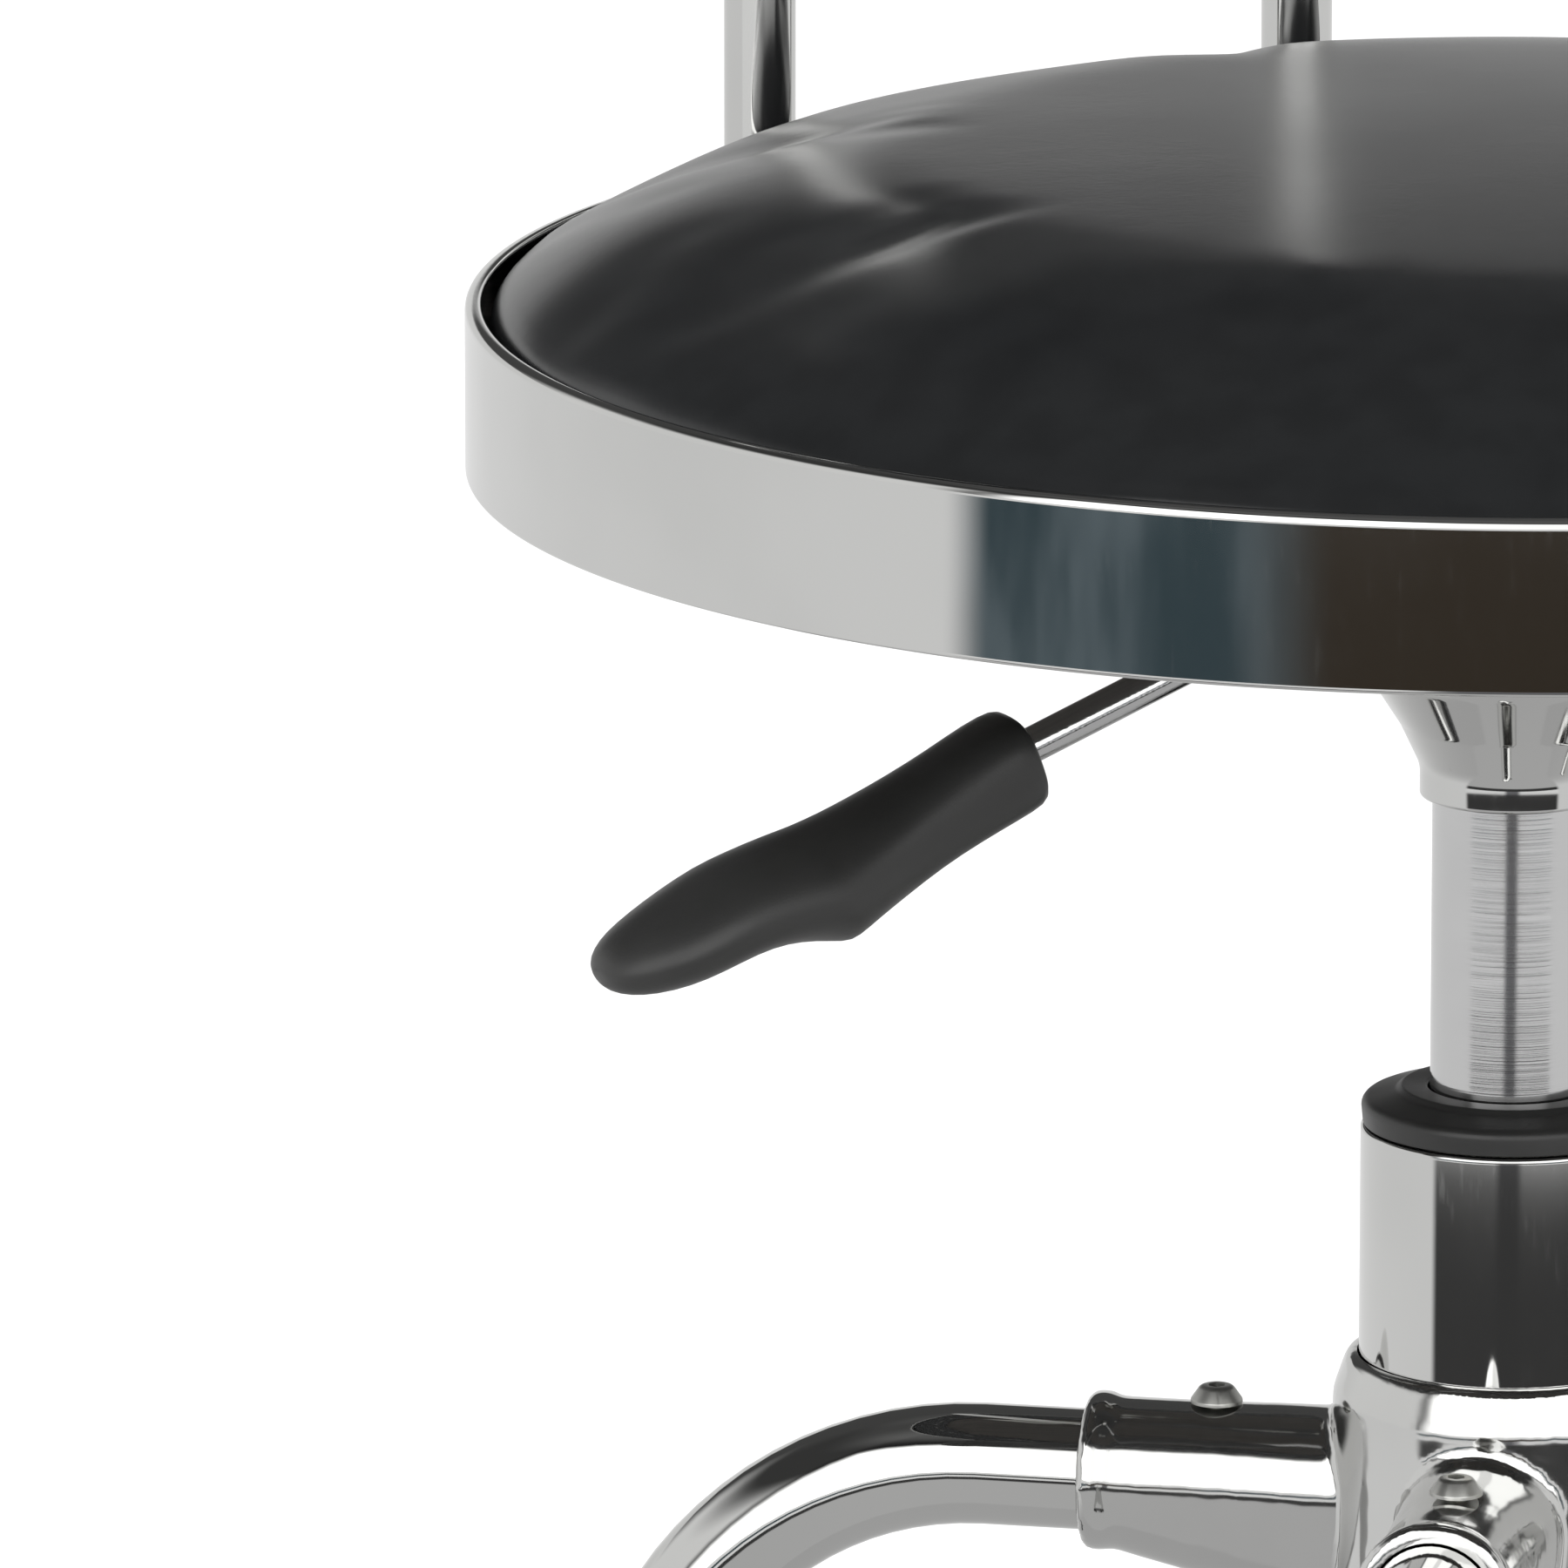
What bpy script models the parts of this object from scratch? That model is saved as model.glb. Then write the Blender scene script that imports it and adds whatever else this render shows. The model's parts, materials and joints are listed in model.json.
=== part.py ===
"""An adjustable swivel stool: a round padded seat with a backrest, on a gas lift and a four-leg tube base.

Metres, +Z up. The origin is on the floor, under the column. The sitter faces -Y, the backrest is at +Y
and the height lever points to -X. The seat is at its lowest stop.
"""

import math

import bmesh
import bpy
from mathutils import Matrix, Vector

# ---- Driving dimensions ----

# Clearances
FACE_GAP = 0.0003  # between two faces that touch
RUNNING_GAP = 0.0001  # between a turning piece and its bearing

# Heights above the floor
SEAT_TRIM_TOP = 0.480  # top edge of the seat's chrome band
ARM_AXIS_HEIGHT = 0.2708  # middle of the leg sockets
LEG_END_HEIGHT = 0.068  # where the leg tubes end, above the casters

# Seat
SEAT_RADIUS = 0.1778
TRIM_HEIGHT = 0.029
TRIM_WALL = 0.0012
TRIM_LIP = 0.0028
CUSHION_CROWN = 0.0271
DOME_SHARE = 0.2  # how much of the crown is a plain dome; the rest is flat with a square shoulder
CROWN_POWER = 11.0  # how square the shoulder of the cushion is
SHOULDER_POWER = 1.36
BOARD_THICKNESS = 0.012
BOARD_DROP = 0.012  # from the band's top edge to the board's top face
PLATE_SIDE = 0.140
PLATE_THICKNESS = 0.0025
PLATE_SCREW_SPACING = 0.110

# Gas lift
CYLINDER_RADIUS = 0.0136
CYLINDER_WALL = 0.0026
CYLINDER_TOP_DROP = 0.050  # from the band's top edge to the cylinder's top
STROKE = 0.118
ROD_RADIUS = 0.005
PISTON_LENGTH = 0.010
VALVE_RADIUS = 0.004
VALVE_TOP_DROP = 0.0391  # from the band's top edge to the button's top
COLUMN_RADIUS = 0.0254
COLUMN_WALL = 0.002
COLUMN_TOP_DROP = 0.1439  # from the band's top edge to the column tube's top
COLUMN_BOTTOM = 0.125
COLUMN_FLOOR = 0.003
BUSH_LENGTH = 0.060
CAP_THICKNESS = 0.0054
CAP_DOME = 0.0012
RACE_THICKNESS = 0.002
CAGE_THICKNESS = 0.003
BUMPER_LENGTH = 0.026

# Seat post socket
SLEEVE_WALL = 0.0019
SLEEVE_BOTTOM_DROP = 0.0862  # from the band's top edge
SLEEVE_TOP_DROP = 0.0768
HOUSING_RADIUS = 0.0255
HOUSING_BOTTOM_DROP = 0.0640
HOUSING_WALL = 0.002

# Height lever
LEVER_SLOPE = math.radians(20.3)
LEVER_PIVOT_X = -0.015
LEVER_PIVOT_DROP = 0.0400  # from the band's top edge
LEVER_ROD_RADIUS = 0.0031
LEVER_INNER_LENGTH = 0.0165  # from the pivot to the tip over the valve button
LEVER_ROD_LENGTH = 0.105  # from the pivot to the rod's outer end
LEVER_TRAVEL = math.radians(10)
PIVOT_PIN_RADIUS = 0.0014
HANDLE_START = 0.0835  # from the pivot to the handle's inner end
HANDLE_LENGTH = 0.0845

# Hub
HUB_WALL = 0.0039
HUB_COLLAR_RADIUS = COLUMN_RADIUS + FACE_GAP + HUB_WALL
HUB_COLLAR_TOP = 0.295
HUB_BOTTOM = 0.2415
ARM_REACH = 0.0728
ARM_ROOT_DEPTH = 0.0245
LEG_COUNT = 4
FIRST_LEG_ANGLE = math.radians(142)
LEG_SCREW_REACH = 0.0505

# Legs
LEG_RADIUS = 0.0105
ARM_WALL = 0.0022
ARM_RADIUS = LEG_RADIUS + FACE_GAP + ARM_WALL
LEG_WALL = 0.0015
LEG_START_GAP = 0.0009  # between the hub's collar and the tube's inner end
LEG_START = HUB_COLLAR_RADIUS + LEG_START_GAP
SHOULDER_START = 0.0909  # where the upper bend begins
SHOULDER_RADIUS = 0.0627
SHOULDER_ANGLE = math.radians(62)
ANKLE_RADIUS = 0.040
SHOULDER_STEPS = 6
ANKLE_STEPS = 3
LEG_FOOT_LENGTH = 0.022  # upright end of the tube
STEM_PLUG_LENGTH = 0.040

# Casters
WHEEL_RADIUS = 0.025
WHEEL_WIDTH = 0.0125
CASTER_WEB = 0.008
CASTER_TRAIL = 0.016
AXLE_RADIUS = 0.0025
STEM_RADIUS = 0.0055
STEM_LENGTH = 0.037
HOOD_WALL = 0.0025
HOOD_GAP = 0.001
# Trailing direction of each caster at rest. Opposite casters trail opposite ways.
CASTER_HEADINGS = [math.radians(a) for a in (168.0, 268.0, 348.0, 88.0)]

# Screws
SCREW_RADIUS = 0.002
SCREW_HEAD_RADIUS = 0.0045
SCREW_HEAD_HEIGHT = 0.003

# Backrest
UPRIGHT_RADIUS = 0.00635
UPRIGHT_SPACING = 0.107
UPRIGHT_SETBACK = 0.0045  # of the rods' middle behind the seat's edge
UPRIGHT_Y = SEAT_RADIUS + UPRIGHT_SETBACK
UPRIGHT_BEND = 0.030
UPRIGHT_TOP = 0.722
UPRIGHT_RUN_END = 0.084  # where the rods end under the seat
UPRIGHT_DROP = 0.0362  # from the band's top edge to the middle of the rods under the seat
CLAMP_Y = 0.112
CLAMP_LENGTH = 0.030
CLAMP_WIDTH = 0.034
CLAMP_WALL = 0.004
CLAMP_SCREW_REACH = 0.0115  # of each screw from the middle of the rod
BACK_WIDTH = 0.300
BACK_HEIGHT = 0.150
BACK_CORNER = 0.045
BACK_CENTRE_HEIGHT = 0.680
BACK_CURVE_RADIUS = 0.350
BACK_SHELL_THICKNESS = 0.010
BACK_PAD_THICKNESS = 0.030
BACK_TRIM_WALL = 0.0012
BACK_SCREW_RISE = 0.030  # of each screw above and below the pad's middle

# Facets round a full circle
WIDE = 48
MEDIUM = 24
NARROW = 20
SLIM = 12
WHEEL_SIDES = 22  # a facet, not a corner, rests on the floor

FINISHES = {
    "chrome": ((0.78, 0.79, 0.80), 0.08, 1.0),
    "satin_chrome": ((0.55, 0.55, 0.54), 0.25, 1.0),
    "zinc": ((0.62, 0.62, 0.60), 0.35, 1.0),
    "vinyl": ((0.03, 0.03, 0.033), 0.35, 0.0),
    "plywood": ((0.035, 0.033, 0.030), 0.6, 0.0),
    "black_paint": ((0.03, 0.03, 0.03), 0.4, 0.5),
    "black_plastic": ((0.02, 0.02, 0.022), 0.45, 0.0),
    "acetal": ((0.75, 0.74, 0.70), 0.5, 0.0),
    "rubber": ((0.02, 0.02, 0.02), 0.8, 0.0),
    "tyre": ((0.06, 0.06, 0.065), 0.6, 0.0),
}


# ---- Modelling helpers ----


def clear_scene():
    for old in list(bpy.data.objects):
        bpy.data.objects.remove(old, do_unlink=True)


def finish_for(node, finish):
    """A material of the node's own, in one of the finishes above."""
    colour, roughness, metallic = FINISHES[finish]
    material = bpy.data.materials.new(f"{node}_{finish}")
    material.use_nodes = True
    shader = material.node_tree.nodes["Principled BSDF"]
    shader.inputs["Base Color"].default_value = (*colour, 1.0)
    shader.inputs["Roughness"].default_value = roughness
    shader.inputs["Metallic"].default_value = metallic
    return material


def axis_empty(name, place, parent=None, turn=0.0):
    """An empty on a joint's axis, turned about Z."""
    empty = bpy.data.objects.new(name, None)
    bpy.context.collection.objects.link(empty)
    empty.location = place
    empty.rotation_euler = (0, 0, turn)
    empty.parent = parent
    return empty


def object_from(name, shape, finish, parent=None, place=(0, 0, 0), rotation=(0, 0, 0)):
    """The bmesh as a closed object, shaded smooth with sharp edges."""
    bmesh.ops.remove_doubles(shape, verts=shape.verts, dist=1e-6)
    bmesh.ops.dissolve_degenerate(shape, edges=shape.edges, dist=1e-7)
    bmesh.ops.recalc_face_normals(shape, faces=shape.faces)
    mesh = bpy.data.meshes.new(name)
    shape.to_mesh(mesh)
    shape.free()
    mesh.shade_smooth()
    mesh.set_sharp_from_angle(angle=math.radians(35))
    made = bpy.data.objects.new(name, mesh)
    bpy.context.collection.objects.link(made)
    made.data.materials.append(finish_for(name, finish))
    made.location = place
    made.rotation_euler = rotation
    made.parent = parent
    return made


def turned(name, outline, finish, sides=NARROW, **where):
    """A solid of revolution about Z. The outline is (radius, z) points; it closes on itself or on the axis."""
    shape = bmesh.new()
    points = [shape.verts.new((radius, 0, z)) for radius, z in outline]
    on_axis = outline[0][0] == 0 and outline[-1][0] == 0
    ends = points if on_axis else points + points[:1]
    edges = [shape.edges.new(pair) for pair in zip(ends[:-1], ends[1:])]
    bmesh.ops.spin(
        shape, geom=points + edges, cent=(0, 0, 0), axis=(0, 0, 1), angle=2 * math.pi, steps=sides
    )
    return object_from(name, shape, finish, **where)


def ring(inner, outer, bottom, top):
    """The outline of a plain ring."""
    return [(outer, top), (outer, bottom), (inner, bottom), (inner, top)]


def disc(radius, bottom, top):
    """The outline of a plain disc."""
    return [(0, top), (radius, top), (radius, bottom), (0, bottom)]


def lofted(name, sections, finish, through=False, **where):
    """A skin over like sections. It is capped at its ends, or with through it joins its last to its first."""
    shape = bmesh.new()
    loops = [[shape.verts.new(point) for point in section] for section in sections]
    pairs = list(zip(loops[:-1], loops[1:]))
    if through:
        pairs.append((loops[-1], loops[0]))
    else:
        shape.faces.new(loops[0])
        shape.faces.new(loops[-1])
    for first, second in pairs:
        for i in range(len(first)):
            j = (i + 1) % len(first)
            shape.faces.new((first[i], first[j], second[j], second[i]))
    return object_from(name, shape, finish, **where)


def block(name, low, high, finish, corner=0.0, **where):
    """A box between two corners. A corner radius rounds its upright edges."""
    shape = bmesh.new()
    size = [b - a for a, b in zip(low, high)]
    middle = [(a + b) / 2 for a, b in zip(low, high)]
    bmesh.ops.create_cube(shape, size=1, matrix=Matrix.Translation(middle) @ Matrix.Diagonal((*size, 1)))
    if corner:
        upright = [e for e in shape.edges if abs(e.verts[0].co.z - e.verts[1].co.z) > size[2] / 2]
        bmesh.ops.bevel(shape, geom=upright, offset=corner, segments=3, affect="EDGES", profile=0.5)
    return object_from(name, shape, finish, **where)


def pipe_section(centre, side, across, radius, sides):
    """A round section about centre, in the plane of two unit vectors, with a facet across its top."""
    turns = [2 * math.pi * (i + 0.5) / sides for i in range(sides)]
    return [centre + radius * (math.cos(a) * side + math.sin(a) * across) for a in turns]


def apply_boolean(target, operand, operation):
    """The operand becomes a hidden cutter of the target."""
    operand.hide_render = True
    operand.display_type = "WIRE"
    operand.hide_set(True)
    modifier = target.modifiers.new(operand.name, "BOOLEAN")
    modifier.operation = operation
    modifier.solver = "EXACT"
    modifier.object = operand
    modifier.show_render = modifier.show_viewport


def drill(target, name, radius, bottom, top, place=(0, 0), sides=NARROW, parent=None):
    """An upright round hole."""
    cutter = turned(name, disc(radius, bottom, top), "zinc", sides, place=(*place, 0), parent=parent)
    apply_boolean(target, cutter, "DIFFERENCE")


def cross_drill(target, name, radius, length, place, sides=SLIM):
    """A round hole along Y."""
    outline = disc(radius, -length / 2, length / 2)
    cutter = turned(name, outline, "zinc", sides, place=place, rotation=(math.pi / 2, 0, 0))
    apply_boolean(target, cutter, "DIFFERENCE")


def button_head_screw(name, seat_z, length, place=(0, 0), parent=None, rotation=(0, 0, 0)):
    """A screw whose domed head stands on seat_z and whose shank runs down from it."""
    head = SCREW_HEAD_RADIUS
    outline = [
        (0, SCREW_HEAD_HEIGHT),
        (head * 0.7, SCREW_HEAD_HEIGHT * 0.75),
        (head, 0),
        (SCREW_RADIUS, 0),
        (SCREW_RADIUS, -length),
        (0, -length),
    ]
    return turned(
        name, outline, "zinc", SLIM, place=(*place, seat_z), parent=parent, rotation=rotation
    )


# ---- Seat ----

BOARD_TOP = SEAT_TRIM_TOP - BOARD_DROP
BOARD_BOTTOM = BOARD_TOP - BOARD_THICKNESS
PLATE_TOP = BOARD_BOTTOM - FACE_GAP
PLATE_BOTTOM = PLATE_TOP - PLATE_THICKNESS
HOUSING_TOP = PLATE_BOTTOM - FACE_GAP
LEVER_PIVOT = Vector((LEVER_PIVOT_X, 0, SEAT_TRIM_TOP - LEVER_PIVOT_DROP))


def crown_height(radius, edge):
    """The cushion's top above the band's top edge."""
    part = radius / edge
    shoulder = (1 - part**CROWN_POWER) ** SHOULDER_POWER
    return CUSHION_CROWN * ((1 - DOME_SHARE) * shoulder + DOME_SHARE * (1 - part * part))


def make_cushion(parent):
    edge = SEAT_RADIUS - TRIM_LIP - FACE_GAP
    shares = (0.0, 0.3, 0.55, 0.72, 0.82, 0.89, 0.94, 0.975, 1.0)
    outline = [(edge * s, SEAT_TRIM_TOP + crown_height(s, 1.0)) for s in shares]
    base = BOARD_TOP + FACE_GAP
    turned("seat_cushion", [*outline, (edge, base), (0, base)], "vinyl", WIDE, parent=parent)


def make_trim(parent):
    outer, top = SEAT_RADIUS, SEAT_TRIM_TOP
    shoulder = TRIM_LIP * 0.3
    outline = [
        (outer, top - TRIM_HEIGHT),
        (outer, top - TRIM_LIP),
        (outer - shoulder, top - shoulder),
        (outer - TRIM_LIP, top),
        (outer - TRIM_LIP, top - TRIM_WALL),
        (outer - TRIM_WALL, top - TRIM_LIP),
        (outer - TRIM_WALL, top - TRIM_HEIGHT),
    ]
    turned("seat_trim_band", outline, "chrome", WIDE, parent=parent)


def make_board_and_plate(parent):
    """Returns the board, so that the clamps' screws can be drilled into it."""
    radius = SEAT_RADIUS - TRIM_WALL - FACE_GAP
    board = turned("seat_board", disc(radius, BOARD_BOTTOM, BOARD_TOP), "plywood", WIDE, parent=parent)
    half = PLATE_SIDE / 2
    low, high = (-half, -half, PLATE_BOTTOM), (half, half, PLATE_TOP)
    plate = block("seat_plate", low, high, "black_paint", corner=0.015, parent=parent)
    reach = PLATE_SCREW_SPACING / 2
    length = PLATE_THICKNESS + BOARD_THICKNESS * 0.75
    for i, (x, y) in enumerate(((reach, reach), (-reach, reach), (-reach, -reach), (reach, -reach)), 1):
        hole = SCREW_RADIUS + FACE_GAP
        depth = length + FACE_GAP * 2
        drill(board, f"board_hole_{i}", hole, PLATE_BOTTOM - depth, PLATE_BOTTOM + depth, (x, y), SLIM)
        drill(plate, f"plate_hole_{i}", hole, PLATE_BOTTOM - depth, PLATE_BOTTOM + depth, (x, y), SLIM)
        seat_z = PLATE_BOTTOM - FACE_GAP
        button_head_screw(f"plate_screw_{i}", seat_z, length, (x, y), parent, (math.pi, 0, 0))
    return board


def make_post_socket(parent):
    """The sleeve that holds the cylinder, flaring into the lever's housing under the plate."""
    inner = CYLINDER_RADIUS + FACE_GAP
    sleeve = inner + SLEEVE_WALL
    top = SEAT_TRIM_TOP
    flare = (HOUSING_RADIUS - sleeve) / 2
    outline = [
        (HOUSING_RADIUS, HOUSING_TOP),
        (HOUSING_RADIUS, top - HOUSING_BOTTOM_DROP),
        (sleeve + flare, top - HOUSING_BOTTOM_DROP * 0.45 - SLEEVE_TOP_DROP * 0.55),
        (sleeve + flare * 0.35, top - HOUSING_BOTTOM_DROP * 0.25 - SLEEVE_TOP_DROP * 0.75),
        (sleeve, top - SLEEVE_TOP_DROP),
        (sleeve, top - SLEEVE_BOTTOM_DROP),
        (inner, top - SLEEVE_BOTTOM_DROP),
        (inner, top - HOUSING_BOTTOM_DROP + HOUSING_WALL),
        (HOUSING_RADIUS - HOUSING_WALL, top - HOUSING_BOTTOM_DROP + HOUSING_WALL),
        (HOUSING_RADIUS - HOUSING_WALL, HOUSING_TOP),
    ]
    socket = turned("seat_post_socket", outline, "chrome", MEDIUM, parent=parent)
    reach = HOUSING_RADIUS * 1.2
    rise = (reach + LEVER_PIVOT_X) * math.tan(LEVER_SLOPE + LEVER_TRAVEL)
    half_width = LEVER_ROD_RADIUS + 0.0012
    low = (-reach, -half_width, LEVER_PIVOT.z - rise - LEVER_ROD_RADIUS)
    high = (-HOUSING_RADIUS * 0.6, half_width, LEVER_PIVOT.z + LEVER_ROD_RADIUS)
    apply_boolean(socket, block("lever_slot", low, high, "zinc"), "DIFFERENCE")
    pin_hole = PIVOT_PIN_RADIUS + FACE_GAP
    cross_drill(socket, "pivot_hole", pin_hole, HOUSING_RADIUS * 3, LEVER_PIVOT)


# ---- Height lever ----


def make_lever(parent):
    """Rod, handle and pivot pin. The rod runs down and outwards to -X from its pivot."""
    pivot = axis_empty("lever_axis", LEVER_PIVOT, parent)
    outward = Vector((-math.cos(LEVER_SLOPE), 0, -math.sin(LEVER_SLOPE)))
    side = Vector((0, 1, 0))
    upward = side.cross(outward)

    def round_section(reach, half_width, half_height, drop=0.0, sides=SLIM):
        centre = outward * reach - upward * drop
        turns = [2 * math.pi * i / sides for i in range(sides)]
        return [
            centre + side * half_width * math.cos(a) + upward * half_height * math.sin(a) for a in turns
        ]

    radius = LEVER_ROD_RADIUS
    flat = radius * 0.75
    stations = [
        (-LEVER_INNER_LENGTH, flat, radius * 0.8),
        (0.004, flat, radius * 1.15),
        (0.008, radius, radius),
        (LEVER_ROD_LENGTH, radius, radius),
    ]
    rod = lofted("lever_rod", [round_section(*s) for s in stations], "satin_chrome", parent=pivot)
    cross_drill(rod, "rod_pivot_hole", PIVOT_PIN_RADIUS + RUNNING_GAP, 0.02, LEVER_PIVOT)

    pin_length = 2 * math.sqrt(HOUSING_RADIUS**2 - LEVER_PIVOT_X**2) + 0.001
    outline = disc(PIVOT_PIN_RADIUS, -pin_length / 2, pin_length / 2)
    rotation = (math.pi / 2, 0, 0)
    turned("lever_pivot_pin", outline, "zinc", SLIM, parent=parent, place=LEVER_PIVOT, rotation=rotation)

    # Each row: share of the handle's length, half width, half height, drop of its middle below the rod
    rows = [
        (0.0, 0.0080, 0.0078, 0.0006),
        (0.03, 0.0088, 0.0086, 0.0008),
        (0.18, 0.0090, 0.0083, 0.0018),
        (0.36, 0.0104, 0.0090, 0.0034),
        (0.485, 0.0124, 0.0104, 0.0046),
        (0.56, 0.0130, 0.0090, 0.0028),
        (0.66, 0.0133, 0.0078, 0.0014),
        (0.80, 0.0133, 0.0070, 0.0018),
        (0.92, 0.0106, 0.0054, 0.0020),
        (1.0, 0.0035, 0.0020, 0.0018),
    ]
    sections = [
        round_section(HANDLE_START + s * HANDLE_LENGTH, width, height, drop, 16)
        for s, width, height, drop in rows
    ]
    handle = lofted("lever_handle", sections, "black_plastic", parent=pivot)
    bore = [
        round_section(reach, radius + FACE_GAP, radius + FACE_GAP)
        for reach in (HANDLE_START - 0.01, LEVER_ROD_LENGTH + FACE_GAP)
    ]
    apply_boolean(handle, lofted("handle_bore", bore, "zinc", parent=pivot), "DIFFERENCE")


# ---- Gas lift ----

CYLINDER_TOP = SEAT_TRIM_TOP - CYLINDER_TOP_DROP
BEARING_BOTTOM = COLUMN_BOTTOM + COLUMN_FLOOR + FACE_GAP
CAGE_BOTTOM = BEARING_BOTTOM + RACE_THICKNESS + FACE_GAP
UPPER_RACE_BOTTOM = CAGE_BOTTOM + CAGE_THICKNESS + FACE_GAP
BUMPER_BOTTOM = UPPER_RACE_BOTTOM + RACE_THICKNESS + FACE_GAP
CYLINDER_BOTTOM = BUMPER_BOTTOM + BUMPER_LENGTH + FACE_GAP
CYLINDER_FLOOR = 0.007
VALVE_POCKET = 0.0095
PISTON_BOTTOM = CYLINDER_BOTTOM + CYLINDER_FLOOR + STROKE


def make_cylinder(parent):
    bore = CYLINDER_RADIUS - CYLINDER_WALL
    gland = ROD_RADIUS + FACE_GAP
    pocket = VALVE_RADIUS + RUNNING_GAP
    bore_top = CYLINDER_TOP - VALVE_POCKET - 0.006
    outline = [
        (0, CYLINDER_TOP - VALVE_POCKET),
        (pocket, CYLINDER_TOP - VALVE_POCKET),
        (pocket, CYLINDER_TOP),
        (CYLINDER_RADIUS - 0.001, CYLINDER_TOP),
        (CYLINDER_RADIUS, CYLINDER_TOP - 0.001),
        (CYLINDER_RADIUS, CYLINDER_BOTTOM),
        (gland, CYLINDER_BOTTOM),
        (gland, CYLINDER_BOTTOM + CYLINDER_FLOOR),
        (bore, CYLINDER_BOTTOM + CYLINDER_FLOOR),
        (bore, bore_top),
        (0, bore_top),
    ]
    turned("gas_cylinder", outline, "satin_chrome", MEDIUM, parent=parent)
    button_top = SEAT_TRIM_TOP - VALVE_TOP_DROP
    button_bottom = CYLINDER_TOP - VALVE_POCKET * 0.62
    turned("valve_button", disc(VALVE_RADIUS, button_bottom, button_top), "zinc", MEDIUM, parent=parent)


def make_spindle(parent):
    """The piston rod and what turns with it on the thrust bearing."""
    piston = CYLINDER_RADIUS - CYLINDER_WALL - FACE_GAP
    neck = ROD_RADIUS
    clip_top = COLUMN_BOTTOM - FACE_GAP
    clip_bottom = clip_top - 0.003
    outline = [
        (0, PISTON_BOTTOM + PISTON_LENGTH),
        (piston, PISTON_BOTTOM + PISTON_LENGTH),
        (piston, PISTON_BOTTOM),
        (neck, PISTON_BOTTOM),
        (neck, clip_bottom - 0.003),
        (0, clip_bottom - 0.003),
    ]
    turned("piston_rod", outline, "satin_chrome", NARROW, parent=parent)
    bore = ROD_RADIUS + FACE_GAP
    turned("rod_clip", ring(bore, 0.009, clip_bottom, clip_top), "zinc", parent=parent)
    race = COLUMN_RADIUS - COLUMN_WALL - 0.009
    upper = ring(bore, race, UPPER_RACE_BOTTOM, UPPER_RACE_BOTTOM + RACE_THICKNESS)
    turned("bearing_upper_race", upper, "zinc", parent=parent)
    bumper = ring(bore, 0.011, BUMPER_BOTTOM, BUMPER_BOTTOM + BUMPER_LENGTH)
    turned("stop_bumper", bumper, "rubber", parent=parent)


def make_column():
    inner = COLUMN_RADIUS - COLUMN_WALL
    top = SEAT_TRIM_TOP - COLUMN_TOP_DROP
    hole = ROD_RADIUS + FACE_GAP
    outline = [
        (COLUMN_RADIUS, top),
        (COLUMN_RADIUS, COLUMN_BOTTOM + 0.002),
        (COLUMN_RADIUS - 0.002, COLUMN_BOTTOM),
        (hole, COLUMN_BOTTOM),
        (hole, COLUMN_BOTTOM + COLUMN_FLOOR),
        (inner, COLUMN_BOTTOM + COLUMN_FLOOR),
        (inner, top),
    ]
    turned("column_tube", outline, "chrome", MEDIUM)
    slide = CYLINDER_RADIUS + FACE_GAP
    cap_bottom = top + FACE_GAP
    cap_top = cap_bottom + CAP_THICKNESS
    cap = [
        (COLUMN_RADIUS, cap_bottom),
        (COLUMN_RADIUS, cap_top - 0.0022),
        (COLUMN_RADIUS - 0.0012, cap_top - 0.0008),
        ((COLUMN_RADIUS + slide) / 2, cap_top + CAP_DOME * 0.6),
        (slide + 0.001, cap_top + CAP_DOME),
        (slide, cap_top + CAP_DOME - 0.001),
        (slide, cap_bottom),
    ]
    turned("column_cap", cap, "black_plastic", MEDIUM)
    bush = ring(slide, inner - FACE_GAP, top - BUSH_LENGTH, top)
    turned("guide_bush", bush, "acetal", MEDIUM)
    race = inner - 0.009
    bore = ROD_RADIUS + FACE_GAP
    lower = ring(bore, race, BEARING_BOTTOM, BEARING_BOTTOM + RACE_THICKNESS)
    turned("bearing_lower_race", lower, "zinc")
    cage = ring(bore + 0.001, race - 0.001, CAGE_BOTTOM, CAGE_BOTTOM + CAGE_THICKNESS)
    turned("bearing_ball_cage", cage, "zinc")


# ---- Hub and legs ----


def outward_of(angle):
    return Vector((math.cos(angle), math.sin(angle), 0))


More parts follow.
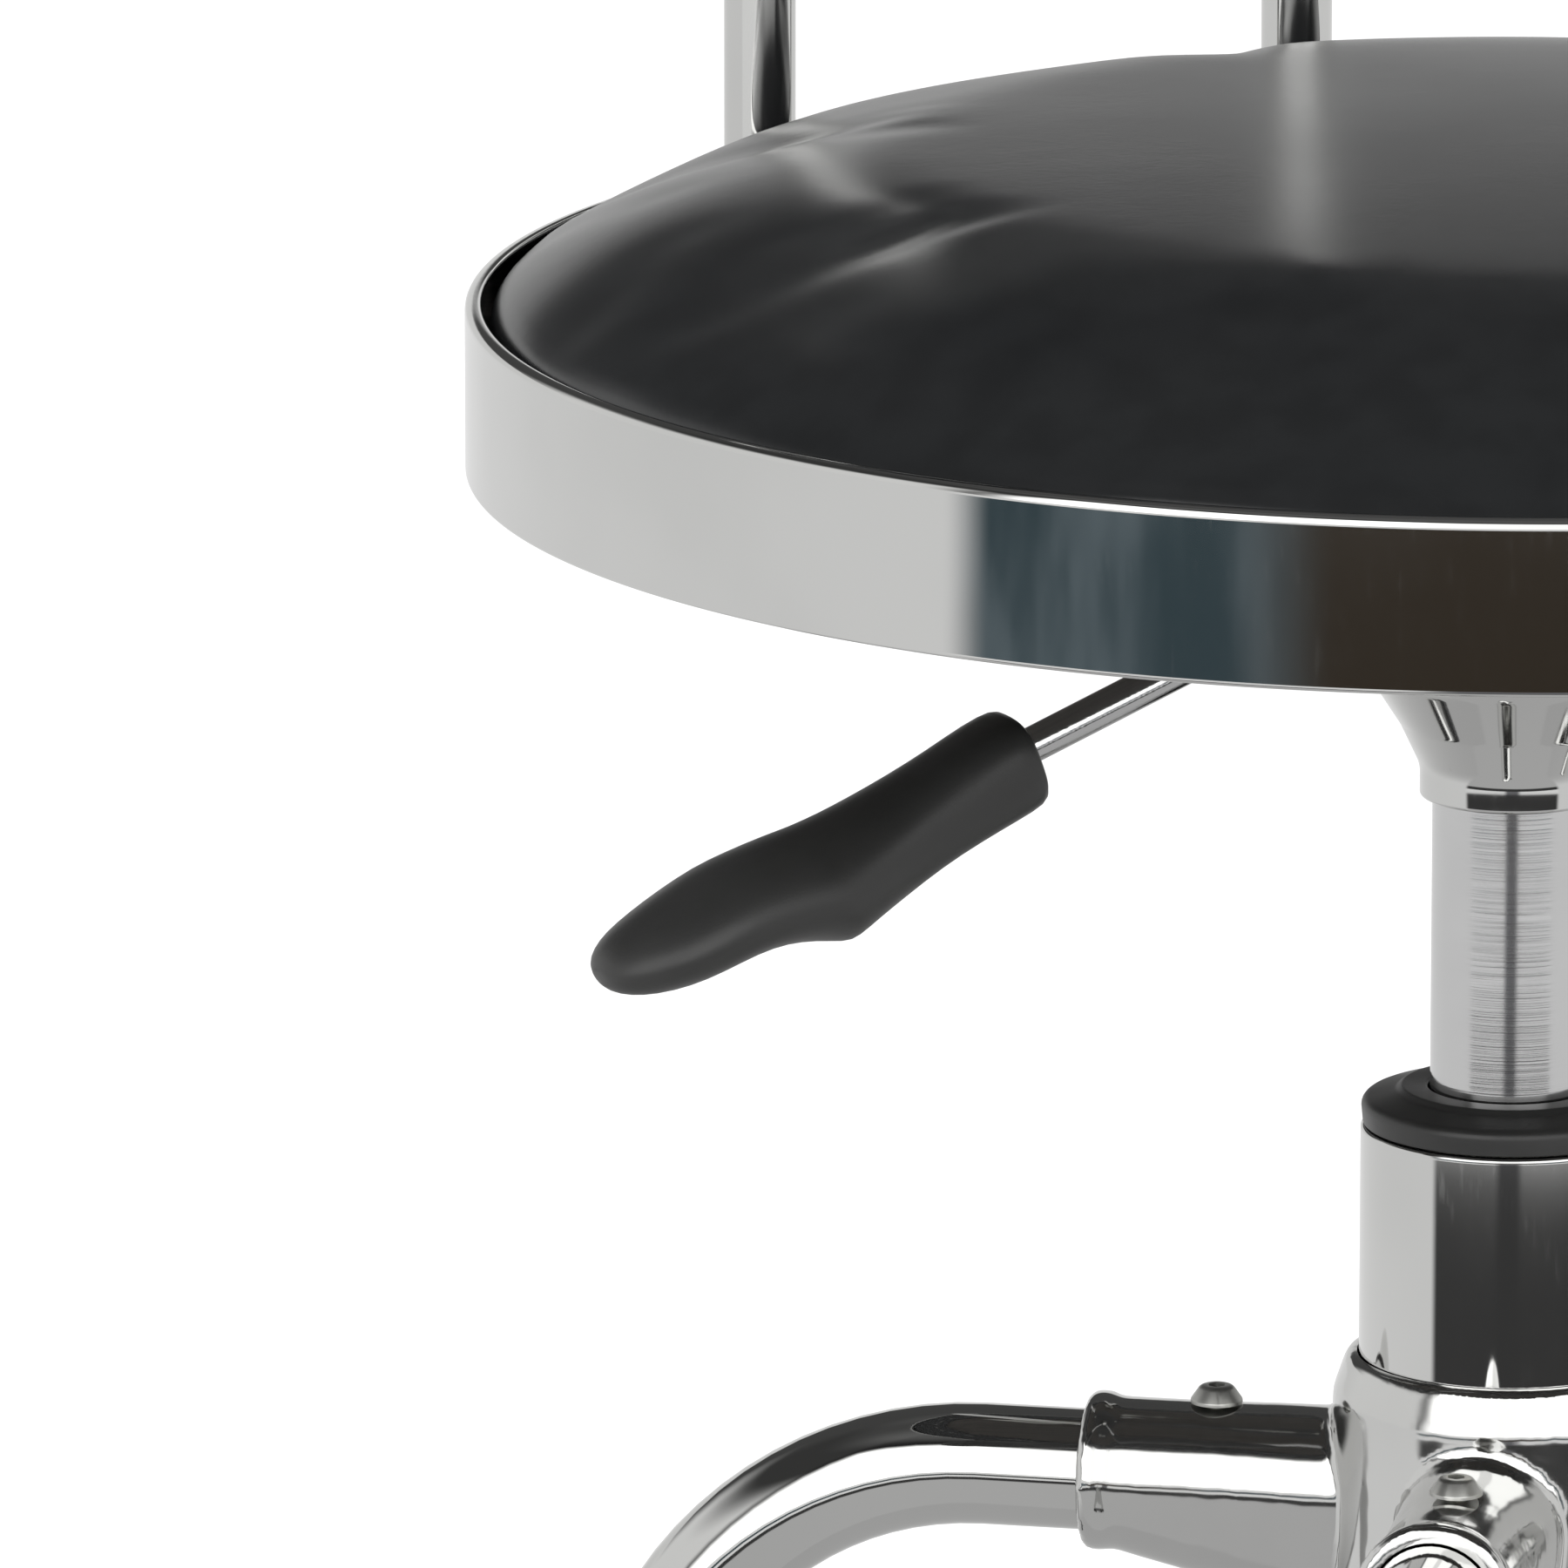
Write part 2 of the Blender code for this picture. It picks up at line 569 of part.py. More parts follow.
def make_hub():
    column = COLUMN_RADIUS + FACE_GAP
    collar = [
        (column + 0.0016, HUB_COLLAR_TOP),
        (HUB_COLLAR_RADIUS, HUB_COLLAR_TOP - 0.006),
        (HUB_COLLAR_RADIUS, HUB_BOTTOM + 0.002),
        (HUB_COLLAR_RADIUS - 0.002, HUB_BOTTOM),
        (column, HUB_BOTTOM),
        (column, HUB_COLLAR_TOP),
    ]
    hub = turned("leg_hub", collar, "chrome", MEDIUM)
    up = Vector((0, 0, 1))
    for i in range(LEG_COUNT):
        angle = FIRST_LEG_ANGLE + 2 * math.pi * i / LEG_COUNT
        outward = outward_of(angle)
        across = up.cross(outward)
        axis_start = Vector((0, 0, ARM_AXIS_HEIGHT))

        def section(reach, half_width, above, below):
            turns = [2 * math.pi * k / SLIM for k in range(SLIM)]
            heights = [(above if math.sin(a) > 0 else below) * math.sin(a) for a in turns]
            middle = axis_start + outward * reach
            return [middle + across * half_width * math.cos(a) + up * h for a, h in zip(turns, heights)]

        wall = ARM_RADIUS
        sections = [
            section(column + 0.0015, wall * 1.05, wall, ARM_ROOT_DEPTH),
            section(ARM_REACH * 0.62, wall, wall, ARM_ROOT_DEPTH * 0.78),
            section(ARM_REACH * 0.88, wall, wall, wall * 1.12),
            section(ARM_REACH, wall, wall, wall),
        ]
        arm = lofted(f"hub_arm_{i + 1}", sections, "chrome")
        apply_boolean(hub, arm, "UNION")
    for i in range(LEG_COUNT):
        angle = FIRST_LEG_ANGLE + 2 * math.pi * i / LEG_COUNT
        outward = outward_of(angle)
        across = up.cross(outward)
        axis_start = Vector((0, 0, ARM_AXIS_HEIGHT))
        bore = [
            pipe_section(axis_start + outward * reach, across, up, LEG_RADIUS + FACE_GAP, SLIM)
            for reach in (LEG_START - FACE_GAP, ARM_REACH + 0.01)
        ]
        apply_boolean(hub, lofted(f"leg_bore_{i + 1}", bore, "zinc"), "DIFFERENCE")
        place = outward * LEG_SCREW_REACH
        hole = SCREW_RADIUS + FACE_GAP
        low, high = ARM_AXIS_HEIGHT + LEG_RADIUS * 0.8, ARM_AXIS_HEIGHT + ARM_RADIUS * 1.5
        drill(hub, f"arm_screw_hole_{i + 1}", hole, low, high, place.xy, SLIM)


def leg_path():
    """The tube's centre line as (reach, height, slope below level), bend by bend."""
    stations = [(LEG_START, ARM_AXIS_HEIGHT, 0.0)]
    for i in range(SHOULDER_STEPS + 1):
        slope = SHOULDER_ANGLE * i / SHOULDER_STEPS
        reach = SHOULDER_START + SHOULDER_RADIUS * math.sin(slope)
        stations.append((reach, ARM_AXIS_HEIGHT - SHOULDER_RADIUS * (1 - math.cos(slope)), slope))
    reach, height, _ = stations[-1]
    ankle_drop = ANKLE_RADIUS * math.cos(SHOULDER_ANGLE)
    run = height - ankle_drop - LEG_FOOT_LENGTH - LEG_END_HEIGHT
    reach += run / math.tan(SHOULDER_ANGLE)
    height -= run
    centre = (reach - ANKLE_RADIUS * math.sin(SHOULDER_ANGLE), height - ANKLE_RADIUS * math.cos(SHOULDER_ANGLE))
    for i in range(ANKLE_STEPS + 1):
        slope = SHOULDER_ANGLE + (math.pi / 2 - SHOULDER_ANGLE) * i / ANKLE_STEPS
        stations.append(
            (centre[0] + ANKLE_RADIUS * math.sin(slope), centre[1] + ANKLE_RADIUS * math.cos(slope), slope)
        )
    stations.append((stations[-1][0], LEG_END_HEIGHT, math.pi / 2))
    return stations


CASTER_REACH = leg_path()[-1][0]


def make_leg(number, angle):
    """A bent tube, open at the hub and plugged round the caster's stem at its foot."""
    outward = outward_of(angle)
    up = Vector((0, 0, 1))
    across = up.cross(outward)

    def section(reach, height, slope, radius):
        normal = outward * math.sin(slope) + up * math.cos(slope)
        return pipe_section(outward * reach + up * height, across, normal, radius, SLIM)

    path = leg_path()
    bore = LEG_RADIUS - LEG_WALL
    foot_reach = path[-1][0]
    stem_bore = STEM_RADIUS + FACE_GAP
    plug_top = LEG_END_HEIGHT + STEM_PLUG_LENGTH
    sections = [section(*station, LEG_RADIUS) for station in path]
    sections.append(section(foot_reach, LEG_END_HEIGHT, math.pi / 2, stem_bore))
    # The stem's bore stops inside the upright end; above it the tube is hollow along the same path.
    sections.append(section(foot_reach, plug_top - 0.004, math.pi / 2, stem_bore))
    hollow = [path[i] for i in range(SHOULDER_STEPS + 1, -1, -2)] + path[:1]
    sections.extend(section(*station, bore) for station in hollow)
    leg = lofted(f"leg_{number}", sections, "chrome", through=True)
    place = outward * LEG_SCREW_REACH
    hole = SCREW_RADIUS + FACE_GAP
    low, high = ARM_AXIS_HEIGHT + bore * 0.7, ARM_AXIS_HEIGHT + ARM_RADIUS * 1.5
    drill(leg, f"leg_screw_hole_{number}", hole, low, high, place.xy, SLIM)
    seat_z = ARM_AXIS_HEIGHT + ARM_RADIUS + FACE_GAP
    button_head_screw(f"leg_screw_{number}", seat_z, ARM_RADIUS - LEG_RADIUS + LEG_WALL + 0.002, place.xy)


# ---- Casters ----


def make_caster(number, angle, heading):
    """A twin-wheel caster on its stem. In the swivel empty's frame the wheels trail along +X."""
    place = outward_of(angle) * CASTER_REACH
    swivel = axis_empty(f"caster_{number}_axis", place, turn=heading)
    half_web = CASTER_WEB / 2
    hood_inner = WHEEL_RADIUS + HOOD_GAP
    hood_outer = hood_inner + HOOD_WALL
    boss_bottom = WHEEL_RADIUS * 2 + HOOD_GAP * 1.5
    boss_top = LEG_END_HEIGHT - FACE_GAP * 2
    stem = [
        (0, LEG_END_HEIGHT + STEM_LENGTH),
        (STEM_RADIUS - 0.0008, LEG_END_HEIGHT + STEM_LENGTH),
        (STEM_RADIUS, LEG_END_HEIGHT + STEM_LENGTH - 0.0015),
        (STEM_RADIUS, boss_top),
        (0.0095, boss_top),
        (0.0105, boss_bottom),
        (0, boss_bottom),
    ]
    body = turned(f"caster_{number}_body", stem, "black_plastic", SLIM, parent=swivel)

    def slab(name, outline, half_width):
        """An outline in the swivel's X-Z plane, given a width along Y."""
        sides = [[Vector((x, y, z)) for x, z in outline] for y in (-half_width, half_width)]
        return lofted(name, sides, "black_plastic", parent=swivel)

    wheel_middle = (CASTER_TRAIL, WHEEL_RADIUS)

    def arc(radius, start, end, steps):
        turns = [math.radians(start + (end - start) * i / steps) for i in range(steps + 1)]
        return [(wheel_middle[0] + radius * math.cos(a), wheel_middle[1] + radius * math.sin(a)) for a in turns]

    web = [*arc(WHEEL_RADIUS * 0.72, -150, 40, 6), *arc(hood_inner + HOOD_WALL / 2, 50, 150, 5)]
    web.append((-0.0075, WHEEL_RADIUS * 1.2))
    hood = [*arc(hood_outer, 15, 165, 9), *arc(hood_inner, 165, 15, 9)]
    half_hood = half_web + FACE_GAP + WHEEL_WIDTH
    neck_low = (-0.0085, -half_web, WHEEL_RADIUS * 1.3)
    neck_high = (0.0085, half_web, boss_bottom + 0.003)
    apply_boolean(body, slab(f"caster_web_{number}", web, half_web), "UNION")
    apply_boolean(body, slab(f"caster_hood_{number}", hood, half_hood), "UNION")
    neck = block(f"caster_neck_{number}", neck_low, neck_high, "black_plastic", parent=swivel)
    apply_boolean(body, neck, "UNION")
    half_axle = half_web + WHEEL_WIDTH * 0.6
    axle = turned(
        f"caster_axle_{number}",
        disc(AXLE_RADIUS, -half_axle, half_axle),
        "zinc",
        SLIM,
        place=(wheel_middle[0], 0, wheel_middle[1]),
        rotation=(math.pi / 2, 0, 0),
        parent=swivel,
    )
    apply_boolean(body, axle, "UNION")

    bore = AXLE_RADIUS + RUNNING_GAP
    corner = WHEEL_RADIUS / math.cos(math.pi / WHEEL_SIDES)  # so that the facets lie on the radius
    wheel = [
        (0, WHEEL_WIDTH - 0.0008),
        (corner * 0.74, WHEEL_WIDTH - 0.0008),
        (corner * 0.88, WHEEL_WIDTH),
        (corner, WHEEL_WIDTH - 0.0025),
        (corner, 0.002),
        (corner - 0.0015, 0),
        (bore, 0),
        (bore, WHEEL_WIDTH * 0.75),
        (0, WHEEL_WIDTH * 0.75),
    ]
    for side, label in ((1, "right"), (-1, "left")):
        turned(
            f"caster_{number}_wheel_{label}",
            wheel,
            "tyre",
            WHEEL_SIDES,
            place=(wheel_middle[0], side * (half_web + FACE_GAP), wheel_middle[1]),
            rotation=(-side * math.pi / 2, 0, 0),
            parent=swivel,
        )


# ---- Backrest ----


def make_upright(label, x, board, parent):
    """A steel rod, upright behind the seat and bent forwards into a clamp under its board."""
    low = SEAT_TRIM_TOP - UPRIGHT_DROP
    side = Vector((1, 0, 0))
    stations = [(UPRIGHT_Y, UPRIGHT_TOP, 0.0)]
    for i in range(7):
        turn = math.pi / 2 * i / 6
        y = UPRIGHT_Y - UPRIGHT_BEND * (1 - math.cos(turn))
        stations.append((y, low + UPRIGHT_BEND * (1 - math.sin(turn)), turn))
    stations.append((UPRIGHT_RUN_END, low, math.pi / 2))
    sections = [
        pipe_section(
            Vector((x, y, z)), side, Vector((0, math.cos(turn), math.sin(turn))), UPRIGHT_RADIUS, SLIM
        )
        for y, z, turn in stations
    ]
    rod = lofted(f"back_upright_{label}", sections, "chrome", parent=parent)
    bottom = low - UPRIGHT_RADIUS - CLAMP_WALL
    half = CLAMP_WIDTH / 2
    corner_low = (x - half, CLAMP_Y - CLAMP_LENGTH / 2, bottom)
    corner_high = (x + half, CLAMP_Y + CLAMP_LENGTH / 2, BOARD_BOTTOM - FACE_GAP)
    clamp = block(f"upright_clamp_{label}", corner_low, corner_high, "zinc", parent=parent)
    outline = disc((UPRIGHT_RADIUS + FACE_GAP) / math.cos(math.pi / SLIM), -CLAMP_LENGTH, CLAMP_LENGTH)
    bore = turned(
        f"clamp_bore_{label}",
        outline,
        "zinc",
        SLIM,
        place=(x, CLAMP_Y, low),
        rotation=(math.pi / 2, 0, 0),
        parent=parent,
    )
    apply_boolean(clamp, bore, "DIFFERENCE")
    length = BOARD_BOTTOM - bottom + BOARD_THICKNESS * 0.7
    hole = SCREW_RADIUS + FACE_GAP
    for side_name, screw_x in (("right", x - CLAMP_SCREW_REACH), ("left", x + CLAMP_SCREW_REACH)):
        place = (screw_x, CLAMP_Y)
        for target, cutter in ((clamp, "clamp_hole"), (board, "board_clamp_hole")):
            drill(target, f"{cutter}_{label}_{side_name}", hole, bottom - length, bottom + length + FACE_GAP, place, SLIM)
        name = f"clamp_screw_{label}_{side_name}"
        button_head_screw(name, bottom - FACE_GAP, length, place, parent, (math.pi, 0, 0))
    return rod


def back_screw_places():
    """The x and z of each screw that holds the backrest to its uprights."""
    half = UPRIGHT_SPACING / 2
    heights = (BACK_CENTRE_HEIGHT + BACK_SCREW_RISE, BACK_CENTRE_HEIGHT - BACK_SCREW_RISE)
    return [(x, z) for x in (-half, half) for z in heights]


def back_stations():
    """Across the pad: x and the half height of its rounded outline there."""
    half_width = BACK_WIDTH / 2
    straight = half_width - BACK_CORNER
    right = [(0.0, BACK_HEIGHT / 2), (straight * 0.5, BACK_HEIGHT / 2), (straight, BACK_HEIGHT / 2)]
    for i in range(1, 6):
        turn = math.pi / 2 * i / 5
        x = straight + BACK_CORNER * math.sin(turn)
        right.append((x, BACK_HEIGHT / 2 - BACK_CORNER * (1 - math.cos(turn))))
    left = [(-x, height) for x, height in reversed(right[1:])]
    return left + right


def curve_back(x):
    """How far the pad comes forward at x."""
    return x * x / (2 * BACK_CURVE_RADIUS)


def make_back(parent, uprights):
    """The shell on its screws, the pad and the band round it. The uprights are those at -X and +X."""
    # The shell's rear lies on the rods, so its middle stands behind their fronts by the curve's depth.
    shell_rear = UPRIGHT_Y - UPRIGHT_RADIUS - FACE_GAP + curve_back(UPRIGHT_SPACING / 2)
    shell_front = shell_rear - BACK_SHELL_THICKNESS
    pad_rear = shell_front - FACE_GAP
    pad_front = pad_rear - BACK_PAD_THICKNESS
    stations = back_stations()

    def slice_at(x, half_height, rows):
        return [Vector((x, y - curve_back(x), BACK_CENTRE_HEIGHT + z)) for y, z in rows(half_height)]

    def shell_rows(h):
        return [(shell_rear, -h), (shell_rear, h), (shell_front, h), (shell_front, -h)]

    shell = lofted(
        "back_shell", [slice_at(x, h, shell_rows) for x, h in stations], "black_plastic", parent=parent
    )

    inset = BACK_TRIM_WALL + FACE_GAP
    soft = BACK_PAD_THICKNESS * 0.45

    def pad_rows(h):
        h = h - inset
        return [
            (pad_rear, -h),
            (pad_rear, h),
            (pad_front + soft, h),
            (pad_front + soft * 0.3, h - soft * 0.35),
            (pad_front, h - soft),
            (pad_front, -h + soft),
            (pad_front + soft * 0.3, -h + soft * 0.35),
            (pad_front + soft, -h),
        ]

    squeeze = 1 - inset / (BACK_WIDTH / 2)
    sections = [slice_at(x * squeeze, h, pad_rows) for x, h in stations]
    lofted("back_pad", sections, "vinyl", parent=parent)

    head_y = UPRIGHT_Y + UPRIGHT_RADIUS + FACE_GAP
    length = 2 * UPRIGHT_RADIUS + BACK_SHELL_THICKNESS * 0.7
    for i, (x, z) in enumerate(back_screw_places(), 1):
        for target, cutter in ((uprights[x > 0], "rod_hole"), (shell, "shell_hole")):
            middle = (x, UPRIGHT_Y - UPRIGHT_RADIUS, z)
            hole_length = length + 2 * UPRIGHT_RADIUS
            cross_drill(target, f"{cutter}_{i}", SCREW_RADIUS + FACE_GAP, hole_length, middle)
        screw = button_head_screw(f"back_screw_{i}", 0, length, parent=parent, rotation=(-math.pi / 2, 0, 0))
        screw.location = (x, head_y, z)

    # A thin chrome band round the pad's edge, in front of the shell's rim
    band_front = pad_rear - BACK_PAD_THICKNESS * 0.42
    loop = stations + [(x, -h) for x, h in reversed(stations)]

    def inward(x, z):
        """The outline point moved in by the band's wall."""
        straight_x = BACK_WIDTH / 2 - BACK_CORNER
        straight_z = BACK_HEIGHT / 2 - BACK_CORNER
        cx = max(-straight_x, min(straight_x, x))
        cz = max(-straight_z, min(straight_z, z))
        offset = Vector((x - cx, 0, z - cz))
        if abs(x) <= straight_x:
            offset = Vector((0, 0, z - cz))
        scale = (BACK_CORNER - BACK_TRIM_WALL) / BACK_CORNER
        return cx + offset.x * scale, cz + offset.z * scale

    sections = []
    for x, z in loop:
        ix, iz = inward(x, z)
        sections.append(
            [
                Vector((x, pad_rear - curve_back(x), BACK_CENTRE_HEIGHT + z)),
                Vector((x, band_front - curve_back(x), BACK_CENTRE_HEIGHT + z)),
                Vector((ix, band_front - curve_back(ix), BACK_CENTRE_HEIGHT + iz)),
                Vector((ix, pad_rear - curve_back(ix), BACK_CENTRE_HEIGHT + iz)),
            ]
        )
    lofted("back_trim_band", sections, "chrome", through=True, parent=parent)
    return shell


clear_scene()
seat_axis = axis_empty("seat_axis", (0, 0, 0))
make_cushion(seat_axis)
make_trim(seat_axis)
seat_board = make_board_and_plate(seat_axis)
make_post_socket(seat_axis)
make_lever(seat_axis)
make_cylinder(seat_axis)
make_spindle(seat_axis)
make_column()
make_hub()
for leg_index in range(LEG_COUNT):
    leg_angle = FIRST_LEG_ANGLE + 2 * math.pi * leg_index / LEG_COUNT
    make_leg(leg_index + 1, leg_angle)
    make_caster(leg_index + 1, leg_angle, CASTER_HEADINGS[leg_index])
back_uprights = [
    make_upright("right", -UPRIGHT_SPACING / 2, seat_board, seat_axis),
    make_upright("left", UPRIGHT_SPACING / 2, seat_board, seat_axis),
]
make_back(seat_axis, back_uprights)
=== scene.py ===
"""The finished look of a swivel stool: a padded seat and backrest on a gas lift and four tube legs.

Metres, +Z up, on the floor under the column. The sitter faces -Y, the backrest is at +Y and the height
lever points to -X. Each operator makes one piece, or one group of like pieces, of the stool.
"""

import json
import math

import bmesh
import bpy
from mathutils import Matrix, Vector


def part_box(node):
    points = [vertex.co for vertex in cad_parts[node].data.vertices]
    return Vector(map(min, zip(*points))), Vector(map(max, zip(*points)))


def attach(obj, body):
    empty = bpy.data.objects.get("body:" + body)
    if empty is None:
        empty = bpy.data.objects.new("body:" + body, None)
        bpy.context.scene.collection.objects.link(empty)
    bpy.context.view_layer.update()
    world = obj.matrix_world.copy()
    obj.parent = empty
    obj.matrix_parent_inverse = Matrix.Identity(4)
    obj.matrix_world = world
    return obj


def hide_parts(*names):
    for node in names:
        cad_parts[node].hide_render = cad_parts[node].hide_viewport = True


bl_info = {
    "name": "Swivel Stool",
    "version": (1, 0, 0),
    "blender": (4, 5, 0),
    "location": "View3D > Sidebar > Stool",
    "description": "Makes the pieces of a swivel stool round its packed frame",
    "category": "Object",
}

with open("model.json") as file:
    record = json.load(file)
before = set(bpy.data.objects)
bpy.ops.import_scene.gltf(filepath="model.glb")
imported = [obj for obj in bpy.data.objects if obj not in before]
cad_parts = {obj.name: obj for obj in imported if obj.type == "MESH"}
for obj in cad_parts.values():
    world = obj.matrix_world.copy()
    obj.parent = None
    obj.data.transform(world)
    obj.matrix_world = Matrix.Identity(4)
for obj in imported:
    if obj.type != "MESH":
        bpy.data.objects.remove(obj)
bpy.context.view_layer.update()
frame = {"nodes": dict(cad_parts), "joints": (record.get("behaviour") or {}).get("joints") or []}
JOINTS = {joint["name"]: joint for joint in frame["joints"]}
UP = Vector((0, 0, 1))
FACE_GAP = 0.0003  # between two faces that touch
SLIM_FLAT = math.cos(math.radians(15))  # how far out a twelve-sided tube's flats are, for a radius of 1


# ---- Where things are ----


def low(node):
    return Vector(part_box(node)[0])


def high(node):
    return Vector(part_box(node)[1])


def middle(node):
    return (low(node) + high(node)) / 2


def turned_about_z(angle):
    return Vector((math.cos(angle), math.sin(angle), 0))


# ---- Settings ----


def length(name, text, default):
    return bpy.props.FloatProperty(name=name, description=text, default=default, unit="LENGTH", precision=5)


def colour(name, text, default):
    return bpy.props.FloatVectorProperty(
        name=name, description=text, default=default, subtype="COLOR", size=3, min=0, max=1
    )


def number(name, text, default):
    return bpy.props.IntProperty(name=name, description=text, default=default, min=3)


class SeatSettings(bpy.types.PropertyGroup):
    crown: length("Crown", "Height of the cushion's middle above the band", 0.0271)
    side_gap: length("Side gap", "Between the cushion's side and the band's lip", 0.0012)
    swell: length("Swell", "The most that a point of the cushion may move as it fills", 0.0035)
    band_wall: length("Band wall", "Thickness of the chrome band", 0.0012)
    lip: length("Lip", "Width of the band's rolled top lip", 0.0028)
    hem_width: length("Hem width", "Cover turned in under the board", 0.026)
    staples: number("Staples", "Staples round the hem", 44)


class BackSettings(bpy.types.PropertyGroup):
    corner: length("Corner", "Corner radius of the backrest", 0.045)
    curve: length("Curve", "Radius that the backrest is bent to", 0.350)
    swell: length("Swell", "The most that a point of the pad may move as it fills", 0.0045)
    rod_radius: length("Rod radius", "Half the thickness of the upright rods", 0.00635)
    rod_bend: length("Rod bend", "Bend radius of the rods behind the seat", 0.030)


class LiftSettings(bpy.types.PropertyGroup):
    cylinder_radius: length("Cylinder radius", "Outer radius of the gas cylinder", 0.0136)
    column_radius: length("Column radius", "Outer radius of the column tube", 0.0254)
    rod_radius: length("Lever rod radius", "Half the thickness of the lever's rod", 0.0031)
    slope: bpy.props.FloatProperty(
        name="Lever slope",
        description="How far the lever points down at rest",
        default=math.radians(20.3),
        subtype="ANGLE",
    )


class BaseSettings(bpy.types.PropertyGroup):
    legs: number("Legs", "Number of legs", 4)
    leg_radius: length("Leg radius", "Outer radius of the leg tubes", 0.0105)
    shoulder: length("Shoulder", "Radius of each leg's upper bend", 0.0627)
    ankle: length("Ankle", "Radius of each leg's lower bend", 0.040)
    arm_radius: length("Arm radius", "Outer radius of the hub's sockets", 0.0130)
    wheel_radius: length("Wheel radius", "Outer radius of the caster wheels", 0.025)
    wheel_ribs: number("Wheel ribs", "Ribs on each wheel's face", 9)


class FinishSettings(bpy.types.PropertyGroup):
    chrome: colour("Chrome", "Polished chrome plate", (0.63, 0.63, 0.62))
    satin: colour("Satin chrome", "Ground and plated steel", (0.60, 0.60, 0.60))
    zinc: colour("Zinc", "Zinc-plated steel", (0.46, 0.46, 0.44))
    vinyl: colour("Vinyl", "Cover of the seat and backrest", (0.0110, 0.0118, 0.0126))
    plastic: colour("Plastic", "Moulded plastic", (0.021, 0.021, 0.0205))
    plywood: colour("Plywood", "Stained veneer of the seat board", (0.035, 0.031, 0.027))
    tread: colour("Tread", "Tread of the wheels", (0.055, 0.055, 0.058))


class StudioSettings(bpy.types.PropertyGroup):
    daylight: bpy.props.FloatProperty(
        name="Light", description="Strength of the even light from all sides", default=1.22, min=0
    )
    softbox: bpy.props.FloatProperty(
        name="Softbox", description="Strength of the softboxes in front of the stool", default=2.3, min=0
    )
    lens: bpy.props.FloatProperty(
        name="Lens", description="Focal length in millimetres", default=400.0, min=1
    )


def settings(part):
    return getattr(bpy.context.scene, f"stool_{part}")


# ---- Shapes ----


def rounded(corners, steps=5):
    """An outline of (u, v) points from corners (u, v, radius)."""
    points = []
    for i, (u, v, radius) in enumerate(corners):
        here = Vector((u, v))
        if not radius:
            points.append((u, v))
            continue
        back = (Vector(corners[i - 1][:2]) - here).normalized()
        on = (Vector(corners[(i + 1) % len(corners)][:2]) - here).normalized()
        half = back.angle(on) / 2
        centre = here + (back + on).normalized() * radius / math.sin(half)
        start = here + back * radius / math.tan(half) - centre
        end = here + on * radius / math.tan(half) - centre
        first = math.atan2(start.y, start.x)
        sweep = (math.atan2(end.y, end.x) - first + math.pi) % (2 * math.pi) - math.pi
        for k in range(steps + 1):
            turn = first + sweep * k / steps
            points.append((centre.x + radius * math.cos(turn), centre.y + radius * math.sin(turn)))
    return points


def join_loops(shape, first, second):
    """Quads between two like loops, or triangles where one of them is a single point."""
    count = max(len(first), len(second))
    for i in range(count):
        j = (i + 1) % count
        if len(first) == 1:
            shape.faces.new((first[0], second[j], second[i]))
        elif len(second) == 1:
            shape.faces.new((first[i], first[j], second[0]))
        else:
            shape.faces.new((first[i], first[j], second[j], second[i]))


def held_straight(outline, margin=0.0004):
    """The outline with a point close to both ends of each long run, so that it shades as a straight run."""
    points = []
    for first, second in zip(outline, outline[1:] + outline[:1]):
        points.append(tuple(first)[:2])
        start, end = Vector(tuple(first)[:2]), Vector(tuple(second)[:2])
        run = (end - start).length
        if run > 10 * margin and max(start.x, end.x) > margin:
            points += [tuple(start.lerp(end, share)) for share in (margin / run, 1 - margin / run)]
    return points


def lathe(outline, sides=96):
    """A solid turned about Z from (radius, z) points. It closes on itself or on the axis."""
    outline = held_straight(outline)
    shape = bmesh.new()
    turns = [2 * math.pi * i / sides for i in range(sides)]
    loops = []
    for radius, z in outline:
        if radius < 1e-7:
            loops.append([shape.verts.new((0, 0, z))])
        else:
            loops.append([shape.verts.new((radius * math.cos(a), radius * math.sin(a), z)) for a in turns])
    if outline[0][0] > 1e-7:
        loops.append(loops[0])
    for first, second in zip(loops, loops[1:]):
        join_loops(shape, first, second)
    return shape


def skin(sections, through=False):
    """A skin over like sections, capped, or joined into a ring with through."""
    shape = bmesh.new()
    loops = [[shape.verts.new(point) for point in section] for section in sections]
    if through:
        loops.append(loops[0])
    else:
        shape.faces.new(loops[0])
        shape.faces.new(reversed(loops[-1]))
    for first, second in zip(loops, loops[1:]):
        join_loops(shape, first, second)
    return shape


def swept(path, radii, across, sides=40):
    """A round bar along a flat path. across is square to the path's plane."""
    sections = []
    for i, (point, radius) in enumerate(zip(path, radii)):
        ahead = (path[min(i + 1, len(path) - 1)] - path[max(i - 1, 0)]).normalized()
        normal = across.cross(ahead)
        turns = [2 * math.pi * k / sides for k in range(sides)]
        sections.append([point + radius * (math.cos(a) * across + math.sin(a) * normal) for a in turns])
    return skin(sections)


def box_shape(lowest, highest, bevel=0.0, segments=3):
    shape = bmesh.new()
    size = [b - a for a, b in zip(lowest, highest)]
    centre = [(a + b) / 2 for a, b in zip(lowest, highest)]
    bmesh.ops.create_cube(shape, size=1, matrix=Matrix.Translation(centre) @ Matrix.Diagonal((*size, 1)))
    if bevel:
        bmesh.ops.bevel(
            shape, geom=shape.edges[:], offset=bevel, segments=segments, affect="EDGES", profile=0.5
        )
    return shape


